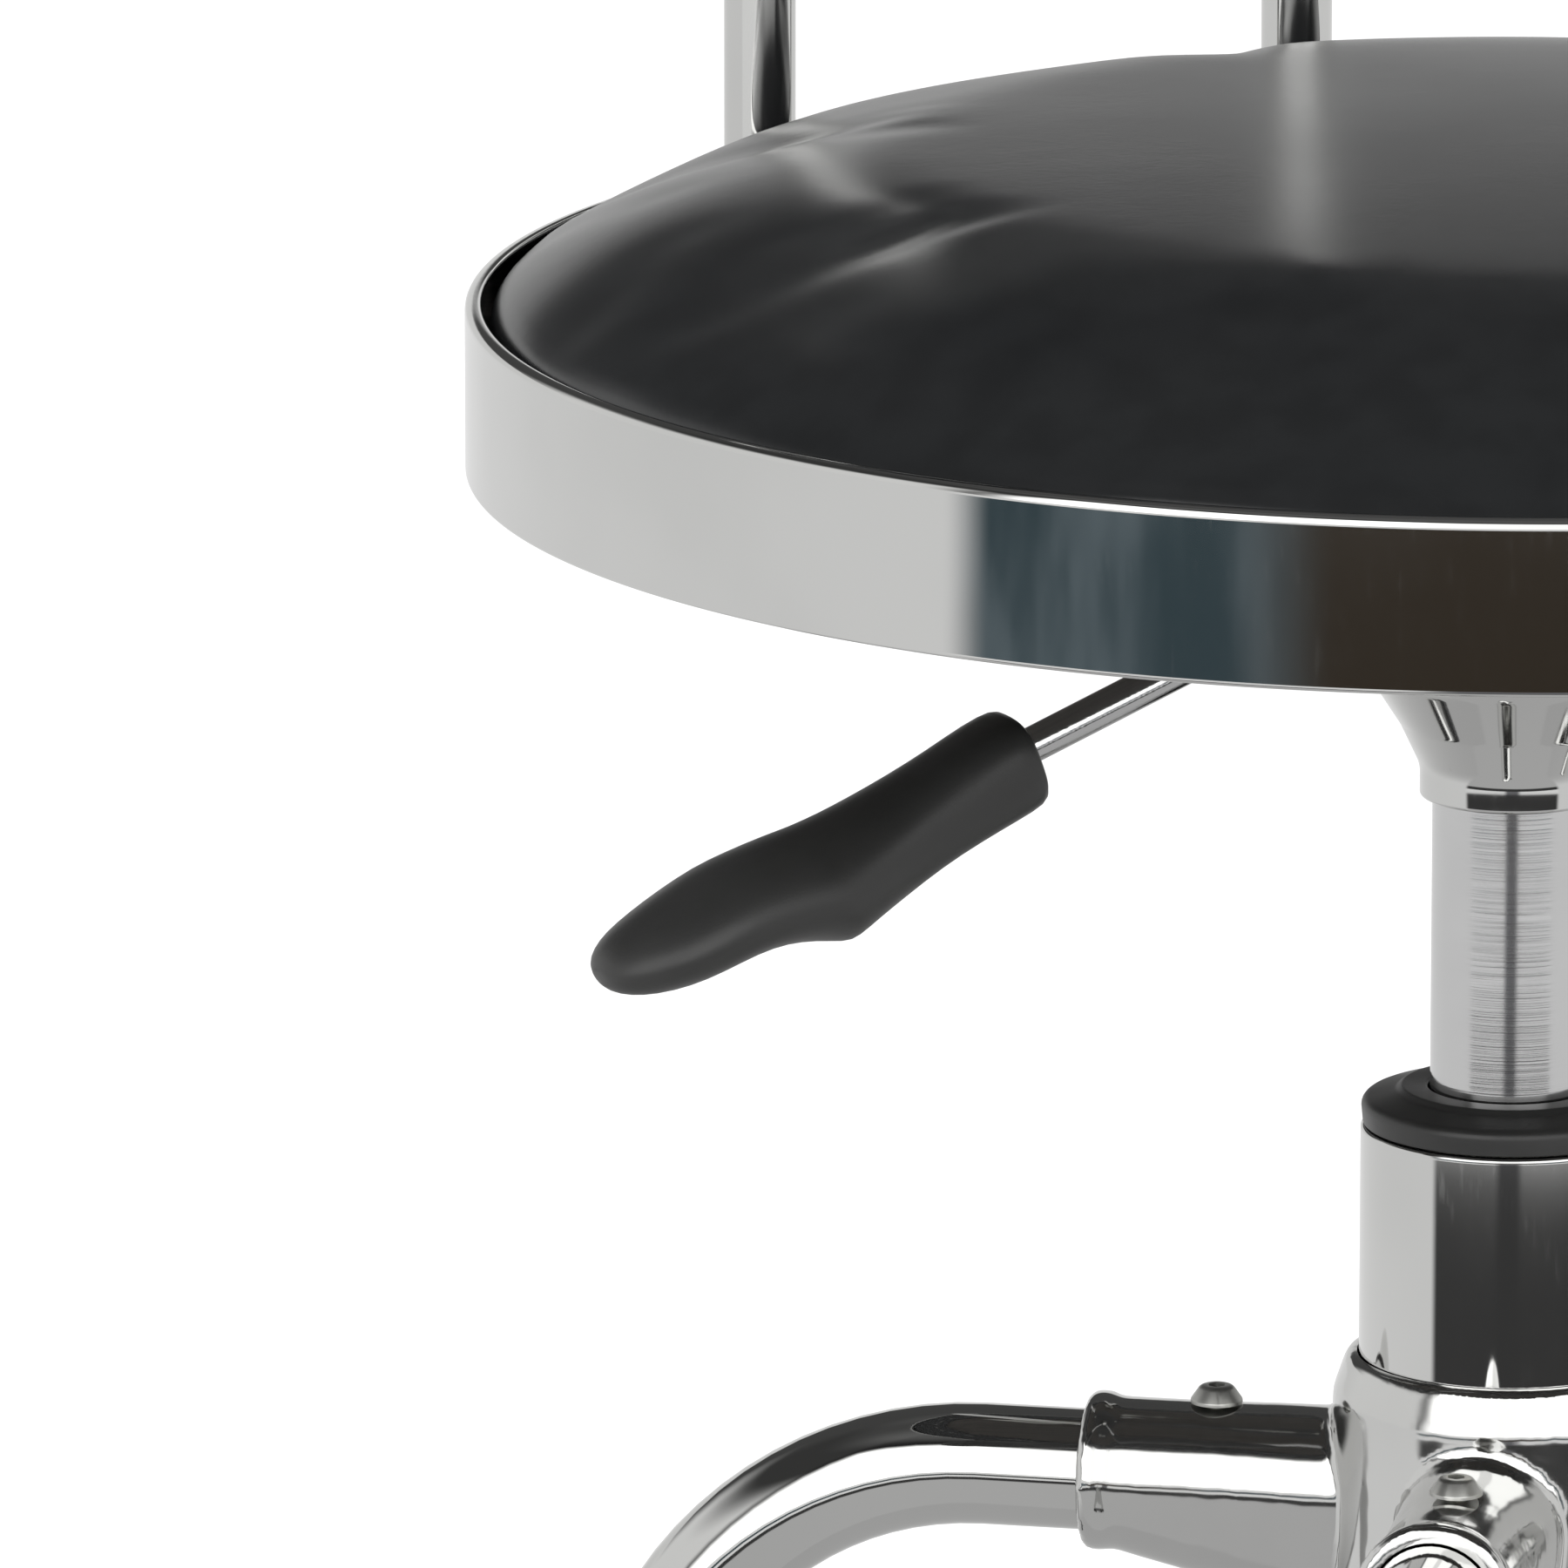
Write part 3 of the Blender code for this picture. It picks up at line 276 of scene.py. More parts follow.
def piece_from(name, shape, *finishes, place=None, sharp=38):
    """The shape as an object at the origin, faces outwards, smooth but for edges over the sharp angle."""
    if place:
        bmesh.ops.transform(shape, matrix=place, verts=shape.verts)
    bmesh.ops.remove_doubles(shape, verts=shape.verts, dist=1e-6)
    bmesh.ops.recalc_face_normals(shape, faces=shape.faces)
    mesh = bpy.data.meshes.new(name)
    shape.to_mesh(mesh)
    shape.free()
    mesh.shade_smooth()
    mesh.set_sharp_from_angle(angle=math.radians(sharp))
    piece = bpy.data.objects.new(name, mesh)
    bpy.context.scene.collection.objects.link(piece)
    for finish in finishes:
        mesh.materials.append(finish)
    return piece


def settle(piece):
    """The piece's modifiers become its mesh."""
    graph = bpy.context.evaluated_depsgraph_get()
    mesh = bpy.data.meshes.new_from_object(piece.evaluated_get(graph), depsgraph=graph)
    piece.modifiers.clear()
    piece.data = mesh
    mesh.name = piece.name


def combine(piece, other, operation="DIFFERENCE"):
    """Cuts the other shape from the piece, or adds it."""
    modifier = piece.modifiers.new(operation.title(), "BOOLEAN")
    modifier.operation = operation
    modifier.solver = "EXACT"
    modifier.object = other
    settle(piece)
    bpy.data.objects.remove(other)


def cutter(shape, place=None):
    return piece_from("cutter", shape, place=place)


def resharpen(piece, sharp=38):
    piece.data.shade_smooth()
    piece.data.set_sharp_from_angle(angle=math.radians(sharp))


def bevelled(piece, width, segments=3, angle=35):
    modifier = piece.modifiers.new("Bevel", "BEVEL")
    modifier.width = width
    modifier.segments = segments
    modifier.limit_method = "ANGLE"
    modifier.angle_limit = math.radians(angle)
    modifier.harden_normals = False
    settle(piece)
    resharpen(piece)


def subdivided(piece, levels=1):
    modifier = piece.modifiers.new("Subdivision", "SUBSURF")
    modifier.levels = modifier.render_levels = levels
    settle(piece)


def smoothed(piece, times, factor=0.5):
    modifier = piece.modifiers.new("Smooth", "SMOOTH")
    modifier.iterations = times
    modifier.factor = factor
    settle(piece)


def remeshed(piece, voxel):
    modifier = piece.modifiers.new("Remesh", "REMESH")
    modifier.mode = "VOXEL"
    modifier.voxel_size = voxel
    modifier.use_smooth_shade = True
    settle(piece)


def inflate(piece, held, most, pressure=4.0):
    """Fills the piece as cloth. Held vertices stay, and no other point moves more than most."""
    start = [v.co.copy() for v in piece.data.vertices]
    group = piece.vertex_groups.new(name="held")
    group.add(held, 1.0, "REPLACE")
    cloth = piece.modifiers.new("Cloth", "CLOTH")
    cloth.settings.quality = 6
    cloth.settings.mass = 0.3
    cloth.settings.tension_stiffness = cloth.settings.compression_stiffness = 25
    cloth.settings.use_pressure = True
    cloth.settings.uniform_pressure_force = pressure
    cloth.settings.vertex_group_mass = "held"
    cloth.settings.effector_weights.gravity = 0
    cloth.point_cache.frame_start, cloth.point_cache.frame_end = 1, 20
    for number_of_frame in range(1, 21):
        bpy.context.scene.frame_set(number_of_frame)
    settle(piece)
    bpy.context.scene.frame_set(1)
    piece.vertex_groups.clear()
    for vertex, before in zip(piece.data.vertices, start):
        move = vertex.co - before
        if move.length > most:
            vertex.co = before + move.normalized() * most
    piece.data.update()


def fit(piece, body, slot, *stands_for):
    """The piece rides on its body and stands for its CAD solids. The slot is not used."""
    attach(piece, body)
    if stands_for:
        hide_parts(*stands_for)
    return piece


def turned_piece(name, outline, sides, look, body, slot, *stands_for, place=None):
    """A turned piece on its body, in its finish."""
    return fit(piece_from(name, lathe(outline, sides), finish(look), place=place), body, slot, *stands_for)


def repaint(node, finish):
    """A CAD solid that keeps its shape gets its finish."""
    shown = frame["nodes"][node]
    shown.data.materials.clear()
    shown.data.materials.append(finish)


# ---- Node trees ----


def wire(tree, kind, inputs=None, output=0, **fields):
    """Adds a node. An input is a value or another node's output. Returns the output that is named."""
    node = tree.nodes.new(kind)
    for field, value in fields.items():
        setattr(node, field, value)
    for key, value in (inputs or {}).items():
        if isinstance(value, bpy.types.NodeSocket):
            tree.links.new(value, node.inputs[key])
        else:
            node.inputs[key].default_value = value
    return node if output is None else node.outputs[output]


def calc(tree, operation, *values):
    return wire(tree, "ShaderNodeMath", dict(enumerate(values)), operation=operation)


def total(tree, first, *others):
    for other in others:
        first = calc(tree, "ADD", first, other)
    return first


def product(tree, first, *others):
    for other in others:
        first = calc(tree, "MULTIPLY", first, other)
    return first


def ramp(tree, value, start, end, low_value=0.0, high_value=1.0):
    """Eases from the low value to the high value as value goes from start to end."""
    inputs = {"Value": value, "From Min": start, "From Max": end, "To Min": low_value, "To Max": high_value}
    return wire(tree, "ShaderNodeMapRange", inputs, interpolation_type="SMOOTHSTEP")


def blend_colour(tree, factor, first, second):
    node = wire(tree, "ShaderNodeMix", output=None, data_type="RGBA")
    for key, value in ((0, factor), (6, first), (7, second)):
        if isinstance(value, bpy.types.NodeSocket):
            tree.links.new(value, node.inputs[key])
        else:
            node.inputs[key].default_value = value
    return node.outputs[2]


def position(tree):
    return wire(tree, "ShaderNodeTexCoord", output="Object")


def stretch(tree, vector, scale):
    return wire(tree, "ShaderNodeMapping", {"Vector": vector, "Scale": scale})


def noise(tree, vector, scale, detail=2.0, rough=0.5):
    inputs = {"Vector": vector, "Scale": scale, "Detail": detail, "Roughness": rough}
    return wire(tree, "ShaderNodeTexNoise", inputs)


def bump(tree, height, distance, strength=1.0, after=None):
    inputs = {"Height": height, "Distance": distance, "Strength": strength}
    if after:
        inputs["Normal"] = after
    return wire(tree, "ShaderNodeBump", inputs)


def socket_name(key):
    return "IOR" if key == "ior" else key.replace("_", " ").title()


def new_finish(name, metallic, **sockets):
    """A material with its tree and its shader."""
    material = bpy.data.materials.new(name)
    material.use_nodes = True
    tree = material.node_tree
    shader = tree.nodes["Principled BSDF"]
    shader.inputs["Metallic"].default_value = metallic
    for key, value in sockets.items():
        shader.inputs[socket_name(key)].default_value = value
    return material, tree, shader


def join_shader(tree, shader, **inputs):
    for key, value in inputs.items():
        tree.links.new(value, shader.inputs[socket_name(key)])


def shade_of(value, amount):
    return (*[min(1.0, c * amount) for c in value], 1.0)


def finish(name):
    """The finish of that name, made the first time it is asked for."""
    full_name = f"stool_{name}"
    return bpy.data.materials.get(full_name) or FINISHES[name](full_name)


def polished_chrome(name):
    """Bright plate with a faint ripple, small polishing marks and hazy patches."""
    base = settings("finish").chrome
    material, tree, shader = new_finish(name, 1.0)
    where = position(tree)
    haze = noise(tree, where, 14.0, 3.0)
    marks = noise(tree, stretch(tree, where, (260.0, 260.0, 40.0)), 3.0, 2.0)
    tint = blend_colour(tree, ramp(tree, haze, 0.35, 0.7), shade_of(base, 1.02), shade_of(base, 0.95))
    rough = total(tree, ramp(tree, haze, 0.3, 0.75, 0.035, 0.065), ramp(tree, marks, 0.55, 0.8, 0.0, 0.02))
    ripple = bump(tree, noise(tree, where, 28.0, 1.0), 0.00004)
    join_shader(tree, shader, base_color=tint, roughness=rough, normal=ripple)
    return material


def cast_chrome(name):
    """Plate over a casting: softer, with the casting's slow waves showing through."""
    base = settings("finish").chrome
    material, tree, shader = new_finish(name, 1.0)
    where = position(tree)
    haze = noise(tree, where, 40.0, 3.0)
    tint = blend_colour(tree, haze, shade_of(base, 1.03), shade_of(base, 0.93))
    waves = bump(tree, noise(tree, where, 70.0, 2.0), 0.00022)
    join_shader(
        tree, shader, base_color=tint, roughness=ramp(tree, haze, 0.3, 0.7, 0.06, 0.11), normal=waves
    )
    return material


def satin_chrome(name):
    """Steel ground round its axis: the light spreads along it."""
    base = settings("finish").satin
    material, tree, shader = new_finish(name, 1.0, anisotropic=0.6, anisotropic_rotation=0.0)
    where = position(tree)
    lines = noise(tree, stretch(tree, where, (20.0, 20.0, 3000.0)), 1.0, 2.0)
    tint = blend_colour(tree, noise(tree, where, 60.0), shade_of(base, 1.03), shade_of(base, 0.94))
    rough = ramp(tree, lines, 0.3, 0.7, 0.10, 0.16)
    around = wire(tree, "ShaderNodeTangent", direction_type="RADIAL", axis="Z")
    join_shader(
        tree, shader, base_color=tint, roughness=rough, normal=bump(tree, lines, 0.00001), tangent=around
    )
    return material


def zinc_plate(name):
    """Dull zinc over steel, mottled, a little yellow in places."""
    base = settings("finish").zinc
    material, tree, shader = new_finish(name, 1.0)
    where = position(tree)
    spangle = wire(tree, "ShaderNodeTexVoronoi", {"Vector": where, "Scale": 420.0}, output="Color")
    mottle = noise(tree, where, 120.0, 4.0)
    warm = (base[0], base[1] * 0.96, base[2] * 0.84, 1.0)
    tint = blend_colour(tree, ramp(tree, mottle, 0.5, 0.75), shade_of(base, 1.0), warm)
    rough = ramp(tree, calc(tree, "ADD", calc(tree, "MULTIPLY", spangle, 0.3), mottle), 0.3, 0.9, 0.26, 0.46)
    join_shader(tree, shader, base_color=tint, roughness=rough, normal=bump(tree, mottle, 0.00003))
    return material


def black_vinyl(name):
    """Upholstery vinyl: fine pebble grain with soft shine, worn slightly smoother in places."""
    base = settings("finish").vinyl
    material, tree, shader = new_finish(name, 0.0, ior=1.52)
    where = position(tree)
    wander = noise(tree, where, 90.0, 2.0)
    cells = {"Vector": where, "Scale": 780.0, "Randomness": 1.0}
    pebbles = wire(tree, "ShaderNodeTexVoronoi", cells, feature="SMOOTH_F1")
    creases = noise(tree, where, 1900.0, 3.0)
    grain = calc(tree, "ADD", pebbles, calc(tree, "MULTIPLY", creases, 0.45))
    wear = noise(tree, where, 7.0, 2.0)
    tint = blend_colour(tree, ramp(tree, wander, 0.3, 0.7), shade_of(base, 0.9), shade_of(base, 1.12))
    rough = calc(
        tree, "ADD", ramp(tree, wear, 0.35, 0.7, 0.20, 0.25), calc(tree, "MULTIPLY", creases, 0.03)
    )
    soft = bump(tree, wander, 0.00002)
    join_shader(
        tree, shader, base_color=tint, roughness=rough, normal=bump(tree, grain, 0.000009, after=soft)
    )
    return material


def black_plastic(name):
    """Moulded plastic with a fine spark-eroded texture."""
    base = settings("finish").plastic
    material, tree, shader = new_finish(name, 0.0, ior=1.49)
    where = position(tree)
    texture = noise(tree, where, 2600.0, 2.0)
    handling = noise(tree, where, 55.0, 3.0)
    tint = blend_colour(tree, handling, shade_of(base, 0.85), shade_of(base, 1.2))
    rough = ramp(tree, handling, 0.3, 0.7, 0.36, 0.47)
    join_shader(tree, shader, base_color=tint, roughness=rough, normal=bump(tree, texture, 0.00002))
    return material


def black_paint(name):
    """Powder coat: satin black with orange peel."""
    material, tree, shader = new_finish(name, 0.0, ior=1.5)
    where = position(tree)
    peel = noise(tree, where, 620.0, 2.0)
    dust = noise(tree, where, 40.0, 4.0)
    tint = blend_colour(tree, dust, (0.017, 0.017, 0.017, 1), (0.03, 0.03, 0.03, 1))
    rough = ramp(tree, dust, 0.3, 0.7, 0.34, 0.45)
    join_shader(tree, shader, base_color=tint, roughness=rough, normal=bump(tree, peel, 0.00006))
    return material


def birch_plywood(name):
    """Face veneer with long grain, and plies showing on the edge."""
    base = settings("finish").plywood
    material, tree, shader = new_finish(name, 0.0)
    where = position(tree)
    bend = noise(tree, where, 5.0, 2.0)
    grain_space = stretch(tree, where, (9.0, 120.0, 40.0))
    grain = noise(tree, grain_space, 1.0, 5.0, 0.6)
    rings = calc(tree, "SINE", calc(tree, "MULTIPLY", calc(tree, "ADD", grain, bend), 26.0))
    face = blend_colour(tree, ramp(tree, rings, -1.0, 1.0), shade_of(base, 1.12), shade_of(base, 0.8))
    height = wire(tree, "ShaderNodeSeparateXYZ", {0: where}, output=2)
    plies = calc(tree, "SINE", calc(tree, "MULTIPLY", height, 2 * math.pi / 0.0024))
    edge = blend_colour(tree, ramp(tree, plies, -0.35, 0.35), shade_of(base, 1.05), shade_of(base, 0.45))
    facing = wire(tree, "ShaderNodeTexCoord", output="Normal")
    flat = calc(tree, "ABSOLUTE", wire(tree, "ShaderNodeSeparateXYZ", {0: facing}, output=2))
    tint = blend_colour(tree, ramp(tree, flat, 0.4, 0.8), edge, face)
    rough = ramp(tree, grain, 0.3, 0.7, 0.55, 0.72)
    join_shader(tree, shader, base_color=tint, roughness=rough, normal=bump(tree, grain, 0.00008))
    return material


def plain_moulding(name, base, rough, grain_scale, depth):
    material, tree, shader = new_finish(name, 0.0)
    where = position(tree)
    patches = noise(tree, where, 45.0, 3.0)
    tint = blend_colour(tree, patches, shade_of(base, 0.88), shade_of(base, 1.1))
    normal = bump(tree, noise(tree, where, grain_scale, 2.0), depth)
    spread = ramp(tree, patches, 0.3, 0.7, rough - 0.05, rough + 0.05)
    join_shader(tree, shader, base_color=tint, roughness=spread, normal=normal)
    return material


def acetal(name):
    return plain_moulding(name, (0.72, 0.71, 0.67), 0.45, 900.0, 0.00001)


def black_rubber(name):
    return plain_moulding(name, (0.022, 0.022, 0.022), 0.78, 1500.0, 0.00004)


def nylon_tread(name):
    return plain_moulding(name, tuple(settings("finish").tread), 0.52, 800.0, 0.00004)


FINISHES = {
    "polished_chrome": polished_chrome,
    "cast_chrome": cast_chrome,
    "satin_chrome": satin_chrome,
    "zinc_plate": zinc_plate,
    "black_vinyl": black_vinyl,
    "black_plastic": black_plastic,
    "black_paint": black_paint,
    "birch_plywood": birch_plywood,
    "acetal": acetal,
    "black_rubber": black_rubber,
    "nylon_tread": nylon_tread,
}


# ---- Geometry node trees ----


def new_tree(name, sockets):
    """A tree with a geometry input and output and the named inputs. Returns it with its group input."""
    tree = bpy.data.node_groups.new(name, "GeometryNodeTree")
    tree.interface.new_socket("Geometry", in_out="OUTPUT", socket_type="NodeSocketGeometry")
    tree.interface.new_socket("Geometry", in_out="INPUT", socket_type="NodeSocketGeometry")
    for label, kind in sockets.items():
        tree.interface.new_socket(label, in_out="INPUT", socket_type=f"NodeSocket{kind}")
    return tree, tree.nodes.new("NodeGroupInput")


def end_tree(tree, geometry, material):
    """Realizes the instances, shades them smooth and gives them the material."""
    real = wire(tree, "GeometryNodeRealizeInstances", {0: geometry})
    smooth = wire(tree, "GeometryNodeSetShadeSmooth", {0: real})
    painted = wire(tree, "GeometryNodeSetMaterial", {"Geometry": smooth, "Material": material})
    wire(tree, "NodeGroupOutput", {0: painted}, output=None)
    return tree


def leg_star_tree():
    """A path drawn as edges becomes a tube, repeated round Z."""
    tree, given = new_tree(
        "Leg Star", {"Tube Radius": "Float", "Tube Sides": "Int", "Legs": "Int", "Material": "Material"}
    )
    path = wire(tree, "GeometryNodeMeshToCurve", {0: given.outputs["Geometry"]})
    ring = wire(
        tree,
        "GeometryNodeCurvePrimitiveCircle",
        {"Resolution": given.outputs["Tube Sides"], "Radius": given.outputs["Tube Radius"]},
    )
    tube = wire(tree, "GeometryNodeCurveToMesh", {"Curve": path, "Profile Curve": ring, "Fill Caps": True})
    places = wire(tree, "GeometryNodePoints", {"Count": given.outputs["Legs"]})
    step = calc(tree, "DIVIDE", 2 * math.pi, given.outputs["Legs"])
    turn = calc(tree, "MULTIPLY", wire(tree, "GeometryNodeInputIndex"), step)
    spin = wire(tree, "ShaderNodeCombineXYZ", {"Z": turn})
    star = wire(tree, "GeometryNodeInstanceOnPoints", {"Points": places, "Instance": tube, "Rotation": spin})
    return end_tree(tree, star, given.outputs["Material"])


def aimed_items_tree():
    """An item stands on each vertex, its +Z along the vertex's aim."""
    tree, given = new_tree("Aimed Items", {"Item": "Object", "Material": "Material"})
    item = wire(tree, "GeometryNodeObjectInfo", {"Object": given.outputs["Item"]}, output="Geometry")
    aim = wire(tree, "GeometryNodeInputNamedAttribute", {"Name": "aim"}, data_type="FLOAT_VECTOR")
    turn = wire(tree, "FunctionNodeAlignRotationToVector", {"Vector": aim}, axis="Z")
    placed = wire(
        tree,
        "GeometryNodeInstanceOnPoints",
        {"Points": given.outputs["Geometry"], "Instance": item, "Rotation": turn},
    )
    return end_tree(tree, placed, given.outputs["Material"])


def item_ring_tree():
    """Items stand in a ring about Z, each turned to face outwards."""
    sockets = {"Item": "Object", "Count": "Int", "Radius": "Float", "Height": "Float", "Material": "Material"}
    tree, given = new_tree("Item Ring", sockets)
    item = wire(tree, "GeometryNodeObjectInfo", {"Object": given.outputs["Item"]}, output="Geometry")
    places = wire(tree, "GeometryNodePoints", {"Count": given.outputs["Count"]})
    step = calc(tree, "DIVIDE", 2 * math.pi, given.outputs["Count"])
    turn = calc(tree, "MULTIPLY", wire(tree, "GeometryNodeInputIndex"), step)
    spin = wire(tree, "ShaderNodeCombineXYZ", {"Z": turn})
    across = calc(tree, "MULTIPLY", given.outputs["Radius"], calc(tree, "COSINE", turn))
    along = calc(tree, "MULTIPLY", given.outputs["Radius"], calc(tree, "SINE", turn))
    spot = wire(tree, "ShaderNodeCombineXYZ", {"X": across, "Y": along, "Z": given.outputs["Height"]})
    moved = wire(tree, "GeometryNodeSetPosition", {"Geometry": places, "Position": spot})
    ring = wire(tree, "GeometryNodeInstanceOnPoints", {"Points": moved, "Instance": item, "Rotation": spin})
    joined = wire(tree, "GeometryNodeJoinGeometry", {0: ring})
    return end_tree(tree, joined, given.outputs["Material"])


def tree_for(name):
    return bpy.data.node_groups.get(name) or TREES[name]()


TREES = {
    "Leg Star": leg_star_tree,
    "Aimed Items": aimed_items_tree,
    "Item Ring": item_ring_tree,
}


def grown(name, tree_name, points, edges=(), aims=(), sharp=38, **values):
    """A plain mesh made by a tree from points and edges. The values are the tree's inputs."""
    mesh = bpy.data.meshes.new(name)
    mesh.from_pydata(points, edges, [])
    if aims:
        attribute = mesh.attributes.new("aim", "FLOAT_VECTOR", "POINT")
        attribute.data.foreach_set("vector", [c for aim in aims for c in aim])
    piece = bpy.data.objects.new(name, mesh)
    bpy.context.scene.collection.objects.link(piece)
    tree = tree_for(tree_name)
    modifier = piece.modifiers.new(tree_name, "NODES")
    modifier.node_group = tree
    for socket in tree.interface.items_tree:
        if socket.in_out == "INPUT" and socket.name in values:
            modifier[socket.identifier] = values[socket.name]
    settle(piece)
    resharpen(piece, sharp)
    for attribute in [a.name for a in piece.data.attributes if a.name == "aim"]:
        piece.data.attributes.remove(piece.data.attributes[attribute])
    return piece


def discard(*helpers):
    for helper in helpers:
        bpy.data.objects.remove(helper)


def absorb(piece, *others):
    """The others' meshes join the piece's."""
    shape = bmesh.new()
    materials = list(piece.data.materials)
    shape.from_mesh(piece.data)
    for other in others:
        before = len(shape.faces)
        shape.from_mesh(other.data)
        shape.faces.ensure_lookup_table()
        for face in shape.faces[before:]:
            material = other.data.materials[face.material_index]
            if material not in materials:
                materials.append(material)
            face.material_index = materials.index(material)
    shape.to_mesh(piece.data)
    shape.free()
    piece.data.materials.clear()
    for material in materials:
        piece.data.materials.append(material)
    discard(*others)


# ---- Seat ----


def round_net(radius, cells, rings):
    """An even net of points over a disc: a square of cells whose outside eases into rings."""
    shape = bmesh.new()
    half = cells / 2
    core = radius * cells / (cells + 2 * rings * 1.15)
    grid = {}
    for i in range(cells + 1):
        for j in range(cells + 1):
            u, v = (i - half) / half, (j - half) / half
            bulge = Vector((u * math.sqrt(1 - v * v / 2), v * math.sqrt(1 - u * u / 2)))
            grid[i, j] = shape.verts.new((*(bulge.lerp(Vector((u, v)) * 0.78, 0.45) * core), 0))
    for i in range(cells):
        for j in range(cells):
            shape.faces.new((grid[i, j], grid[i + 1, j], grid[i + 1, j + 1], grid[i, j + 1]))
    rim = [grid[i, 0] for i in range(cells)] + [grid[cells, j] for j in range(cells)]
    rim += [grid[i, cells] for i in range(cells, 0, -1)] + [grid[0, j] for j in range(cells, 0, -1)]
    inner = rim
    count = len(rim)
    quarter = [math.atan2(v.co.y, v.co.x) for v in rim]
    even = [quarter[0] + 2 * math.pi * k / count for k in range(count)]
    for step in range(1, rings + 1):
        part = step / rings
        loop = []
        for k, start in enumerate(rim):
            natural = quarter[k] if quarter[k] >= quarter[0] - 1e-6 else quarter[k] + 2 * math.pi
            turn = natural + (even[k] - natural) * part
            reach = start.co.length + (radius - start.co.length) * part
            loop.append(shape.verts.new((reach * math.cos(turn), reach * math.sin(turn), 0)))
        join_loops(shape, inner, loop)
        inner = loop
    return shape, inner


def make_cushion():
    """The seat's cushion, filled as cloth over the board and held in by the band."""
    seat = settings("seat")
    band_high = high("seat_trim_band")
    base = high("seat_board").z + FACE_GAP
    edge = band_high.x - seat.lip - seat.side_gap
    start_crown = seat.crown - seat.swell * 0.62
    shape, rim = round_net(edge, 36, 14)

    def top_at(radius, crown):
        part = min(1.0, radius / edge)
        shoulder = (1 - part**11) ** 1.36
        return band_high.z + crown * (0.8 * shoulder + 0.2 * (1 - part * part))

    for vertex in shape.verts:
        vertex.co.z = top_at(vertex.co.xy.length, start_crown)
    # The side goes down to the board in even steps.
    inner = rim
    for step in range(1, 5):
        z = band_high.z + (base - band_high.z) * step / 4
        loop = [shape.verts.new((v.co.x, v.co.y, z)) for v in rim]
        join_loops(shape, inner, loop)
        inner = loop
    shape.faces.new(reversed(inner))
    piece = piece_from("seat_cushion_cover", shape, finish("black_vinyl"), sharp=180)
    held = [v.index for v in piece.data.vertices if v.co.z < band_high.z - 0.002]
    inflate(piece, held, seat.swell)
    smoothed(piece, 3)
    # The filled height is trimmed to the crown, and the side keeps its gap to the lip.
    tallest = max(v.co.z for v in piece.data.vertices)
    grow = seat.crown / (tallest - band_high.z)
    for vertex in piece.data.vertices:
        if vertex.co.z > band_high.z:
            vertex.co.z = band_high.z + (vertex.co.z - band_high.z) * grow
        out = vertex.co.xy.length
        if out > edge + 0.0006:
            vertex.co.x *= (edge + 0.0006) / out
            vertex.co.y *= (edge + 0.0006) / out
    subdivided(piece)
    resharpen(piece, 180)
    fit(piece, "seat", "black_vinyl", "seat_cushion")


def make_band():
    """The chrome band with its rolled lip, butted at the rear, with rivets either side of the joint."""
    seat = settings("seat")
    outer, top, bottom = high("seat_trim_band").x, high("seat_trim_band").z, low("seat_trim_band").z
    wall, lip = seat.band_wall, seat.lip
    outline = rounded(
        [
            (outer, bottom, wall * 0.45),
            (outer, top, wall * 1.25),
            (outer - lip, top, wall * 0.55),
            (outer - lip, top - wall * 1.15, wall * 0.5),
            (outer - wall, top - wall * 1.15, wall * 0.2),
            (outer - wall, bottom, wall * 0.45),
        ]
    )
    band = piece_from("seat_band", lathe(outline, 288), finish("polished_chrome"))
    half_gap = 0.0002
    gap = box_shape((-half_gap, outer - lip * 2, bottom - 0.01), (half_gap, outer * 1.1, top + 0.01))
    combine(band, cutter(gap))
    resharpen(band)
    heights = (bottom + (top - bottom) * 0.28, bottom + (top - bottom) * 0.68)
    side = 0.006
    aims, points = [], []
    for x in (-side, side):
        for z in heights:
            outward = Vector((x, math.sqrt(outer * outer - x * x), 0)).normalized()
            points.append(outward * outer + UP * z)
            aims.append(outward)
    head = [(0, 0.0007), (0.0009, 0.0006), (0.0015, 0.0003), (0.0017, -0.0002), (0, -0.0002)]
    rivet = piece_from("rivet", lathe(head, 20))
    rivets = grown(
        "band_rivets", "Aimed Items", points, aims=aims, Item=rivet, Material=finish("polished_chrome")
    )
    discard(rivet)
    absorb(band, rivets)
    fit(band, "seat", "chrome", "seat_trim_band")


